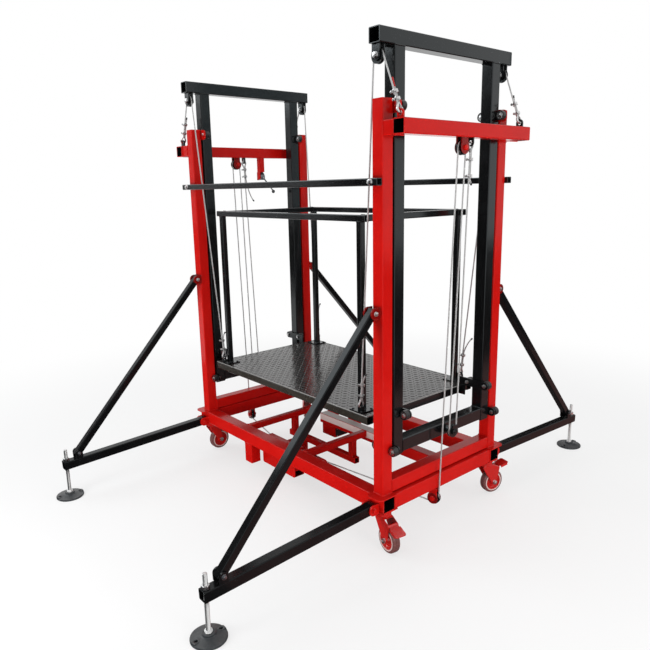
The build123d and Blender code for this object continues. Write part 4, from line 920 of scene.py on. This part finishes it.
for side, sign in sides.items():
    tops = sheaveCentre(side + "_top_sheaves", 0) + (reeving["topSheaveY"] + half) * bothWays
    laid[side + "MastBolts"].append(copies(crossBolt(2 * half, *bolts["topSheave"]), tops, -bothWays))
    start = sheaveCentre(side + "_lower_sheave") * (0, 1, 1) + sign * sheavePin["start"] * xAxis
    pin = copies(headed, start, sign * xAxis)
    addPiece(side + "SheavePin", [pin], sheaveBlack, side + "_mast", side + "_mast_fittings")
    addLaid(side + "MastBolts", zinc, side + "_mast", side + "_mast_fittings")


# Guide rollers: a nylon tyre on a steel bearing
def rollerTyre():
    # ring from the bearing out to a slightly crowned tread with broken corners
    r, b, w = roller["radius"], roller["bearing"], roller["width"]
    half = [(b, 0.2), (r - 1.2, 0), (r - 0.3, 0.9), (r, w * 0.35)]
    return revolved(closedHalf(half, w / 2))


def rollerBearing():
    # outer ring, sunk shield and inner ring on both faces
    half = [(roller["bore"], 0.9), (7.4, 0.9), (7.6, 1.5), (10.2, 1.5), (10.4, 0.6), (roller["bearing"], 0.6)]
    return revolved(closedHalf(half, roller["width"] / 2))


for side, kind, row in rollerSets:
    node = f"{side}_{kind}_rollers_{row}"
    near = boxOf(node)[1][1] - roller["width"]
    starts = place(node + "_spin") * (1, 0, 1) + near * bothWays
    addPiece(node + "_tyre", [copies(rollerTyre(), starts, bothWays)], nylon, node, node)
    addPiece(node + "_bearing", [copies(rollerBearing(), starts, bothWays)], zinc, node, node)

# Limit switch: cast body with a black neck beside a bracket, and a lever with a black roller
switch = {"pivot": (119, 1412), "tip": (184, 1338), "face": -707, "screwSink": 0.3, "leverX": -700,
          "wheelX": -706, "shaft": (4, 0, 9, 24), "screws": ((113, 1404), (132, 1424)),
          "bar": (3.6, 1.5, 1.2), "barFrom": 6, "barStep": 8, "hub": (4.05, 8, 3.8, 0.6, 32),
          "pin": (3, -5.6, 2, 20), "wheel": (3, 9, 6, 0.8, 32),
          "body": [((-733, 109, 1400), (-707, 136, 1428), 3)],
          "neck": [((-730, 112, 1427), (-710, 133, 1436), 2.5), ((-727, 115, 1435), (-713, 130, 1441), 2)],
          "bracket": [((-735.5, 102, 1399), (-732, 118, 1441), 1),
                      ((-735, 102, 1404), (-706.5, 106, 1441), 1)]}
screwHead = revolved([(0, 0), (2.6, 0), (2.6, 1.0), (2.0, 1.6), (0, 1.6)], 20)


def roundedOutline(halfU, halfV, corner):
    # quarter circles at the four corners of a rectangle
    turn = np.linspace(0, pi / 2, 5)
    return np.concatenate([(a * (halfU - corner), b * (halfV - corner)) + circled(turn + k * pi / 2, corner)
                           for k, (a, b) in enumerate(((1, 1), (-1, 1), (-1, -1), (1, -1)))])


def softBlock(low, high, radius):
    # rounded rectangles stacked along z, drawn in along a quarter circle at both ends
    low, high = np.asarray(low, float), np.asarray(high, float)
    half = (high - low) / 2
    turn = np.linspace(0, pi / 2, 4)
    inset = radius * (1 - np.sin(turn))
    height = radius * (1 - np.cos(turn)) - half[2]
    levels = list(zip(inset, height)) + list(zip(inset[::-1], -height[::-1]))
    rows = [np.concatenate((roundedOutline(half[0] - draw, half[1] - draw, max(radius - draw, radius * 0.1)),
                            np.full((20, 1), z)), 1) for draw, z in levels]
    lids = [rows[0] * zAxis, rows[-1] * zAxis]
    return surface(np.stack(lids[:1] + rows + lids[1:]) + (low + high) / 2)


def leverArm():
    # flat bar between the hub and the roller pin, with a round boss at each end
    start, end = (np.array((switch["leverX"],) + switch[key]) for key in ("pivot", "tip"))
    way = unit(end - start)
    run = straight(start + way * switch["barFrom"], end, switch["barStep"])
    bar = swept(run, roundedOutline(*switch["bar"]), np.cross(way, xAxis))
    hub = lifted(washer(*switch["hub"]), -switch["hub"][2] / 2)
    return [bar, copies(hub, start, xAxis), copies(rod(*switch["pin"]), end, xAxis)]


for name, material in (("body", castZinc), ("neck", nylon), ("bracket", redCoat)):
    blocks = [softBlock(*block) for block in switch[name]]
    addPiece("switch" + name.capitalize(), blocks, material, "base", "limit_switch")
screwSeats = [(switch["face"] - switch["screwSink"],) + spot for spot in switch["screws"]]
switchPins = [copies(rod(*switch["shaft"]), (switch["face"],) + switch["pivot"], xAxis),
              copies(screwHead, screwSeats, xAxis)]
addPiece("switchPins", switchPins, zinc, "base", "limit_switch")
leverWheel = copies(washer(*switch["wheel"]), (switch["wheelX"],) + switch["tip"], xAxis)
addPiece("leverArm", leverArm(), castZinc, "limit_lever", "limit_lever")
addPiece("leverRoller", [leverWheel], nylon, "limit_lever", "limit_lever")

# Control box: black end cover with screws; guard posts: button heads in their foot plates
boxEnd = {"cover": ((-79, 61, 127), (-72, 143, 171), 3), "screwY": (67, 137), "screwZ": (132, 166)}
guardPost = {"x": 478, "y": 283, "plateHalf": 35, "plateTop": 509, "boltReach": 25}
boxScrews = [(boxEnd["cover"][1][0], y, z) for y in boxEnd["screwY"] for z in boxEnd["screwZ"]]
addPiece("boxCover", [softBlock(*boxEnd["cover"])], nylon, "base")
addPiece("boxScrews", [copies(screwHead, boxScrews, xAxis)], zinc, "base")
button = revolved([(0, 0), (6, 0), (5.6, 1.6), (4.2, 3.0), (2.2, 3.4), (2.2, 1.4), (0, 1.4)], 28)
x, y, reach = guardPost["x"], guardPost["y"], guardPost["boltReach"]
plateBolts = [(sx * x + a * reach, sy * y + b * reach, guardPost["plateTop"])
              for sx, sy in corners.values() for a in (-1, 1) for b in (-1, 1)]
addPiece("guardBolts", [copies(button, plateBolts, zAxis)], blackCoat, "platform")

# Raised lens pattern of the deck, clear of the guard posts' foot plates
tread = {"pitch": 22, "length": 19, "width": 7, "height": 1.7, "margin": 11, "overlap": 4,
         "rings": 7, "crown": 0.6, "sharp": 70,
         "around": ((-1.0, -0.12), (-0.55, 0.72), (0.0, 1.0), (0.55, 0.72), (1.0, -0.12), (0.0, -0.16))}


def deckLens(turnSign):
    # rings along the lens at u from -1 to 1: half width 1 - u^2, height 1 - u^2 to the power of the crown;
    # the lens is turned 45 degrees one way or the other
    u = np.sin(np.linspace(-pi / 2, pi / 2, tread["rings"]))[:, None]
    across, up = np.array(tread["around"]).T
    swell = 1 - u * u
    x = u * tread["length"] / 2 + 0 * across
    y = swell * across * tread["width"] / 2
    z = np.where(up > 0, swell ** tread["crown"], 1) * up * tread["height"]
    c = cos(pi / 4)
    return surface(np.stack(((x - turnSign * y) * c, (turnSign * x + y) * c, z), -1))


low, high = boxOf("deck_plate")
count = ((high - low)[:2] - 2 * tread["margin"]) // tread["pitch"]
gx, gy = np.meshgrid(np.arange(count[0] + 1), np.arange(count[1] + 1), indexing="ij")
first = (low[:2] + high[:2]) / 2 - count * tread["pitch"] / 2
lensSpots = np.stack((first[0] + gx * tread["pitch"], first[1] + gy * tread["pitch"], 0 * gx + high[2]), -1)
odd = (gx + gy) % 2 == 1
near = guardPost["plateHalf"] + tread["length"] / 2 - tread["overlap"]
free = (np.abs(np.abs(lensSpots[..., :2]) - (guardPost["x"], guardPost["y"])) > near).any(-1)
lenses = [copies(deckLens(turn), lensSpots[(odd == (turn > 0)) & free], zAxis) for turn in (-1, 1)]
addPiece("deckTread", lenses, deckCoat, "platform", sharp=tread["sharp"])
print("deck lenses:", int(free.sum()))

# Casters
wheel = {"radius": 52, "half": 16, "hub": 38, "web": 9, "boss": 15, "bossHalf": 18, "bore": 5.05,
         "shoulder": 8, "groove": ((0, 3.2), (1.1, 3.6), (1.1, 4.6), (0, 5.0)), "rimRing": (37, 42, 0.8),
         "ringSink": 0.5, "nutSpan": 24, "nutWasher": (10.5, 1.2), "nut": (17.4, 6.4), "nutSeat": 1,
         "end": (5, 3), "endSeat": 7}


def tyrePart():
    # crowned tread with two grooves and rounded shoulders, and a raised bead line where it meets the rim
    r, h, hub, shoulder = (wheel[key] for key in ("radius", "half", "hub", "shoulder"))
    turn = np.linspace(0, pi / 2, 8)
    low = (r - shoulder, shoulder - h) + circled(turn - pi / 2, shoulder)
    groove = (r, 0) - np.array(wheel["groove"])[::-1]
    ends = ((hub, 1.5 - h), (hub + 2.5, 1.2 - h), (hub + 3.2, -h))
    return revolved(closedHalf(np.concatenate((ends, low, groove))), 72)


def hubPart():
    # turned hub: rim flange, dished web with a step, boss and bore
    h, hub, web, boss, deep = (wheel[key] for key in ("half", "hub", "web", "boss", "bossHalf"))
    half = [(wheel["bore"], deep), (boss - 1.5, deep), (boss, deep - 1.5), (boss + 1, web + 2),
            (boss + 3, web), (27, web - 1), (29, web + 1.5), (hub - 5, web + 2), (hub - 3.6, h - 1),
            (hub - 2.6, h), (hub - 0.4, h), (hub, h - 0.6)]
    return revolved(closedHalf(half), 72)


axleNut = joined([washer(0, *wheel["nutWasher"]), lifted(hexBlock(*wheel["nut"]), wheel["nutSeat"]),
                  lifted(studEnd(*wheel["end"]), wheel["endSeat"])])
for corner in corners:
    at = place(corner + "_caster_roll")
    along = np.array(joints[corner + "_caster_roll"]["axis"], float)
    ways = np.array((-along, along))
    body = corner + "_caster_wheel"
    # a pale ring on each face of the wheel at the rim's edge: painted highlight
    rings = copies(washer(*wheel["rimRing"]), at + (wheel["half"] - wheel["ringSink"]) * ways, ways)
    addPiece(corner + "Tyre", [copies(tyrePart(), at, along)], tyreRubber, body, body)
    addPiece(corner + "Hub", [copies(hubPart(), at, along)], casterRed, body, body)
    addPiece(corner + "RimHighlightRings", [rings], rimHighlightPlastic, body)
    nuts = copies(axleNut, at + wheel["nutSpan"] * ways, ways)
    addPiece(corner + "AxleNuts", [nuts], zinc, corner + "_caster_fork")

# Levelling feet
foot = {"radius": 59, "rim": 8, "crown": 14, "collar": 21, "collarTop": 22, "edge": 3, "nut": 22,
        "nutTop": 32, "screw": 8, "screwTop": 225, "pitch": 2, "threadDepth": 1.1, "tipDraw": 1.2,
        "holeReach": 44, "hole": 6, "boss": 10, "bossTop": 12, "bossFoot": 2, "bossFan": 0.168,
        "bossBack": 1.2, "drill": (-10, 30), "sliver": 0.02, "threadPoints": 20, "threadRings": 4,
        "screwSink": 1, "nutSink": 0.5}


def threadedRod(low, high):
    # radius falls from crest to root and back once in each pitch: a tent wave of z / pitch - turn
    rows = int((high - low) / foot["pitch"] * foot["threadRings"]) + 1
    turn = around(foot["threadPoints"])
    z = np.linspace(low, high, rows)[:, None]
    wave = np.abs(((z / foot["pitch"] - turn / (2 * pi)) % 1) * 2 - 1)
    taper = np.clip((high - z) / foot["pitch"], 0.0, 1.0)
    r = foot["screw"] - foot["threadDepth"] * wave - foot["tipDraw"] * (1 - taper)
    points = np.concatenate((circled(turn + 0 * z, r), (z + 0 * turn)[..., None]), -1)
    return surface(np.concatenate((points[:1] * zAxis, points, points[-1:] * zAxis)))


def padPart():
    # dished pad: rounded rim, slope up to the collar, collar with a broken edge
    r, rim, edge = foot["radius"], foot["rim"], foot["edge"]
    crown, collar, top = foot["crown"], foot["collar"], foot["collarTop"]
    corner = (r - edge, rim - edge) + circled(np.linspace(0, pi / 2, 6), edge)
    return revolved(np.concatenate((
        [(0, 0), (r - 1, 0), (r, 1)], corner,
        [(r - 8, rim + 0.4), (collar + 16, crown - 2.6), (collar + 5, crown), (collar + 1.2, crown + 1),
         (collar, crown + 2.4), (collar, top - 1.5), (collar - 1.5, top), (15.5, top), (14.5, top - 0.8),
         (0, top - 0.8)])), 96)


def bossPart(way):
    # raised tongue round a hole: half circle on the hub side, straight to the rim, top edge rounded
    size, top, low = foot["boss"], foot["bossTop"], foot["bossFoot"]
    inner = (foot["holeReach"], 0) + circled(np.linspace(pi / 2, 3 * pi / 2, 17), size)
    fan = np.linspace(-foot["bossFan"], foot["bossFan"], 7)
    outer = circled(fan, foot["radius"] - foot["bossBack"])
    outline = np.concatenate((inner, outer))
    centre = outline.mean(0)
    rings = [(0.0, low), (1.0, low), (1.0, top - 1.5), (0.955, top - 0.4), (0.87, top), (0.0, top)]
    rows = [np.concatenate((centre + (outline - centre) * s, np.full((len(outline), 1), z)), 1)
            for s, z in rings]
    return surface(np.stack(rows)[..., [1, 0, 2]] * (-way, way, 1))


def cutHoles(piece, cutters):
    # takes the cutters out of a piece for good, and merges the slivers that are left
    for cutter in cutters:
        step = piece.modifiers.new("hole", "BOOLEAN")
        step.operation = "DIFFERENCE"
        step.object = cutter
        step.solver = "EXACT"
        step.use_self = True
    bpy.context.view_layer.update()
    ready = piece.evaluated_get(bpy.context.evaluated_depsgraph_get())
    mesh = bpy.data.meshes.new_from_object(ready)
    work = bmesh.new()
    work.from_mesh(mesh)
    bmesh.ops.remove_doubles(work, verts=work.verts, dist=foot["sliver"] * mm)
    bmesh.ops.dissolve_degenerate(work, edges=work.edges, dist=foot["sliver"] * mm)
    work.to_mesh(mesh)
    work.free()
    for used in (piece, *cutters):
        bpy.data.objects.remove(used)
    return mesh


padSolid = addPiece("padShape", [padPart(), bossPart(-1), bossPart(1)], padPlastic, None)
drill = rod(foot["hole"], *foot["drill"])
padShape = cutHoles(padSolid, [
    addPiece("holeCutter", [copies(drill, way * foot["holeReach"] * yAxis, zAxis)], padPlastic, None)
    for way in (-1, 1)])
screwPart = threadedRod(foot["collarTop"] - foot["screwSink"], foot["screwTop"])
nutPart = hexBlock(foot["nut"], foot["nutTop"] - foot["collarTop"], foot["screw"], True)
nutPart = lifted(nutPart, foot["collarTop"] - foot["nutSink"])
for corner, (sx, sy) in corners.items():
    body = corner + "_levelling_foot"
    at = np.array((sx * outrigger["x"], sy * outrigger["screwY"], 0))
    mesh = padShape.copy()
    mesh.transform(Matrix.Translation(at * mm))
    pad = link(corner + "Pad", mesh)
    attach(pad, body)
    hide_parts(body)
    addPiece(corner + "Screw", [copies(screwPart, at, zAxis)], screwZinc, body, body)
    addPiece(corner + "FootNut", [copies(nutPart, at, zAxis)], paleZinc, body, body)

# Weld seams: centre, the way the seam faces, the tube that it runs round and the bead's radius
bead = {"step": 1.7, "ripple": 4.2, "depth": 0.16, "corner": 4, "points": 8, "sharp": 80}
tubes = {"base": (30, 30), "mast": (25, 25), "strut": (15, 15), "guard": (12.5, 12.5), "leg": (28.5, 25.5)}
planes = {"x": (yAxis, zAxis, xAxis), "y": (xAxis, zAxis, yAxis), "z": (xAxis, yAxis, zAxis)}
cornerSeams = {
    "frameSeams": [((631, 325, 229), "z", "mast", 3), ((640, 301, 195), "y", "base", 3),
                   ((656, 325, 1539), "x", "mast", 2.6), ((706, 325, 1539), "x", "mast", 2.6),
                   ((631, 300, 254), "y", "mast", 2.8)],
    "guardSeams": [((478, 283, 509), "z", "guard", 2.2), ((478, 283, 1228), "z", "guard", 1.8),
                   ((478, 270.4, 1240.5), "y", "guard", 1.8)],
    "MastSeams": [((631, 267, 1800), "z", "mast", 2.6), ((631, 242, 400), "y", "mast", 2.6)],
}
endSeams = [((-305, 301, 210), "y", "strut", 2.2), ((-232, 335.5, 165), "z", "leg", 2.6)]
singleSeams = [((133, -301, 210), "y", "strut", 2.2), ((133, 57, 210), "y", "strut", 2.2),
               ((610, 82, 200), "x", "mast", 2.6), ((-175, 107, 210), "y", "strut", 2.2),
               ((-175, 301, 210), "y", "strut", 2.2), ((-721, 119, 1514), "z", "strut", 2)]
singleSeams += [((x, -19, z), "z", "strut", 2.2) for x in (-305, 133) for z in (195, 120)]


def weldSeam(centre, facing, tube, radius):
    # rounded rectangle of quarter circles and straight sides in the plane that the seam faces away from; the
    # bead's radius swells and sinks along it, as overlapping drops do
    u, v, out = planes[facing]
    outline = roundedOutline(*tubes[tube], bead["corner"])
    shut = np.concatenate((outline, outline[:1]))
    gone = distances(shut)
    spots = np.arange(0, gone[-1], bead["step"])
    flat = np.stack([np.interp(spots, gone, row) for row in shut.T], -1)
    wave = 1 + bead["depth"] * (np.abs(np.sin(pi * spots / bead["ripple"])) - 0.5)
    section = ringOutline(radius, bead["points"]) * wave[:, None, None]
    return swept(spread(centre, flat, u, v), section, out, closed=True)


for side, sx in sides.items():
    for sy in (-1, 1):
        for piece, rows in cornerSeams.items():
            name = side + piece if piece == "MastSeams" else piece
            laid[name] += [weldSeam(np.array(at) * (sx, sy, 1), *rest) for at, *rest in rows]
for sy in (-1, 1):
    laid["frameSeams"] += [weldSeam(np.array(at) * (1, sy, 1), *rest) for at, *rest in endSeams]
laid["frameSeams"] += [weldSeam(*seam) for seam in singleSeams]
addLaid("frameSeams", redCoat, "base", sharp=bead["sharp"])
addLaid("guardSeams", blackCoat, "platform", sharp=bead["sharp"])
for side in sides:
    addLaid(side + "MastSeams", blackCoat, side + "_mast", sharp=bead["sharp"])

# Camera at the photograph's place; from here on places are in metres
view = {"azimuth": 49.79, "elevation": -12.39, "roll": -1.2, "focal": 624.33, "frame": 650, "sensor": 36.0,
        "at": (2.1481, -1.8750, 1.3514)}


def stand(thing, at, right, up, back):
    # sets an object at a place with its own axes along the three ways
    turn = Matrix(np.stack((right, up, back), 1).tolist()).to_4x4()
    thing.matrix_world = Matrix.Translation(at) @ turn


def addCamera():
    # looks along the azimuth and elevation, rolled about that way
    az, el, ro = (radians(view[key]) for key in ("azimuth", "elevation", "roll"))
    ahead = np.array((-sin(az) * cos(el), cos(az) * cos(el), sin(el)))
    right = np.array((cos(az), sin(az), 0.0))
    up = np.cross(right, ahead)
    data = bpy.data.cameras.new("camera")
    data.sensor_width = view["sensor"]
    data.lens = view["sensor"] * view["focal"] / view["frame"]
    camera = link("camera", data)
    stand(camera, view["at"], right * cos(ro) + up * sin(ro), up * cos(ro) - right * sin(ro), -ahead)
    scene.camera = camera


# Floor, flags and light; a flag has its two far corners and its tone, a lamp its place, aim, size, power and
# whether reflections show it
stage = {"floor": 40.0, "floorWhite": 0.90, "nearLift": 0.66, "liftFrom": 1.6, "liftTo": 3.4, "ambient": 0.52,
         "cool": (0.92, 0.97, 1.0), "floorGrain": 3.0, "floorDip": 0.98, "clothGrain": 12.0,
         "clothTones": (0.8, 1.2)}
flags = {"uprightFlag": ((-2.2, -2.6, 0.0), (1.0, -2.6, 2.45), 0.006),
         "rearFlag": ((-1.2, 3.2, 0.5), (0.7, 3.2, 2.3), 0.02),
         "mastFlagHigh": ((0.7, 0.42, 1.15), (0.7, 1.4, 2.3), (0.62, 0.70, 0.72)),
         "mastFlagLow": ((0.7, 0.42, 0.7), (0.7, 1.4, 1.15), 0.1),
         "leftFlagHigh": ((-6.0, -2.6, 0.95), (-2.2, -2.6, 2.45), (0.8, 0.78, 0.78)),
         "leftFlagLow": ((-6.0, -2.6, 0.0), (-2.2, -2.6, 0.95), 0.05),
         "frontFloorFlag": ((-2.2, -2.6, 0.004), (0.75, -0.45, 0.004), 0.01),
         "cornerFloorFlag": ((0.75, -2.6, 0.004), (1.9, -0.9, 0.004), (0.05, 0.045, 0.045)),
         # under the lift, a dark sheet seen only in reflections: painted shadow of the floor beneath the object
         "underShadowFlag": ((-0.75, -0.45, 0.004), (0.75, 3.0, 0.004), (0.16, 0.12, 0.12)),
         "nearFloorFlag": ((0.75, -0.9, 0.004), (1.9, 3.0, 0.004), (0.58, 0.29, 0.27)),
         "farFloorFlag": ((1.9, -0.9, 0.004), (8.0, 3.0, 0.004), (0.03, 0.028, 0.026)),
         "rearFloorFlag": ((-0.75, 3.0, 0.004), (8.0, 12.0, 0.004), (0.03, 0.028, 0.026))}
lamps = {"key": ((-3.1, -2.7, 3.35), (0, 0, 0.7), 3.0, 62.0, True),
         "low": ((0.1, -2.7, 0.46), (0, 0, 0.2), 0.85, 27.0, False),
         "right": ((3.3, -0.5, 0.6), (0, 0, 0.35), 1.1, 36.0, False),
         "top": ((0.3, 1.2, 4.6), (0, 0, 0.6), 3.5, 50.0, False)}


def backgroundRays(tree):
    # 1 for the rays that see the background: camera, mirror-like and through glass
    path = put(tree, "LightPath").outputs
    seen = maths(tree, "MAXIMUM", path["Is Camera Ray"], path["Is Glossy Ray"])
    return maths(tree, "MAXIMUM", seen, path["Is Transmission Ray"])


def stageSheet(name, low, high, material):
    # flat four-cornered sheet of the stage: low + s times its first side + t times its second, s and t 0 or 1
    low, side = np.array(low), np.subtract(high, low)
    along = np.where(np.arange(3) == np.flatnonzero(side)[0], side, 0)
    s, t = np.meshgrid((0.0, 1.0), (0.0, 1.0), indexing="ij")
    grid = low + s[..., None] * along + t[..., None] * (side - along)
    points, quads = surface(grid, closeCols=False)[:2]
    mesh = bpy.data.meshes.new(name)
    mesh.from_pydata(points.tolist(), [], quads.tolist())
    mesh.materials.append(material)
    sheet = link(name, mesh)
    return sheet


def addFloor():
    # matt white near the lift, so that its shadow shows, and plain background white further off
    material, tree = newMaterial("paleFloor")[:2]
    tree.nodes.clear()
    white = stage["floorWhite"]
    cloudy = mixColour(tree, noise(tree, stage["floorGrain"]), white, white * stage["floorDip"])
    plain = put(tree, "BsdfDiffuse", {"Color": cloudy})
    glow = put(tree, "Emission", {"Color": (1, 1, 1, 1), "Strength": 1.0})
    away = put(tree, "VectorMath", {0: ownSpot(tree)}, operation="LENGTH").outputs["Value"]
    rise = remap(tree, away, stage["liftFrom"], stage["liftTo"], stage["nearLift"],
                 interpolation_type="SMOOTHSTEP")
    share = times(tree, backgroundRays(tree), rise)
    mixed = put(tree, "MixShader", {0: share, 1: plain.outputs[0], 2: glow.outputs[0]})
    put(tree, "OutputMaterial", {"Surface": mixed.outputs[0]})
    edge = stage["floor"] / 2
    stageSheet("floor", (-edge, -edge, 0.0), (edge, edge, 0.0), material)


def addFlags():
    # panels, upright or lying on the floor, seen only in reflections
    for name, (low, high, tone) in flags.items():
        material, tree, shader = newMaterial(name + "Cloth")
        deep, light = (tuple(value * share for value in rgba(tone)[:3]) for share in stage["clothTones"])
        cloth = mixColour(tree, noise(tree, stage["clothGrain"]), deep, light)
        feed(tree, shader, {"Base Color": cloth, "Roughness": 1.0, "Specular IOR Level": 0.0})
        panel = stageSheet(name, low, high, material)
        for ray in ("camera", "diffuse", "shadow", "transmission"):
            setattr(panel, "visible_" + ray, False)


def addLight():
    # pale world, seen as plain white, and four round lamps
    world = bpy.data.worlds.new("studio")
    scene.world = world
    world.use_nodes = True
    tree = world.node_tree
    level = remap(tree, backgroundRays(tree), 0.0, 1.0, stage["ambient"], 1.0)
    feed(tree, tree.nodes["Background"], {"Color": (1, 1, 1, 1), "Strength": level})
    for name, (at, aim, size, power, mirrored) in lamps.items():
        data = bpy.data.lights.new(name, "AREA")
        data.shape = "DISK"
        data.size = size
        data.energy = power
        data.color = stage["cool"] if mirrored else (1, 1, 1)
        lamp = link(name, data)
        away = unit(np.subtract(at, aim))
        across = unit(np.cross(zAxis, away))
        stand(lamp, at, across, np.cross(away, across), away)
        lamp.visible_glossy = mirrored
        lamp.visible_camera = False


addCamera()
addFloor()
addFlags()
addLight()
scene.view_settings.view_transform = "Standard"
print("stage set")
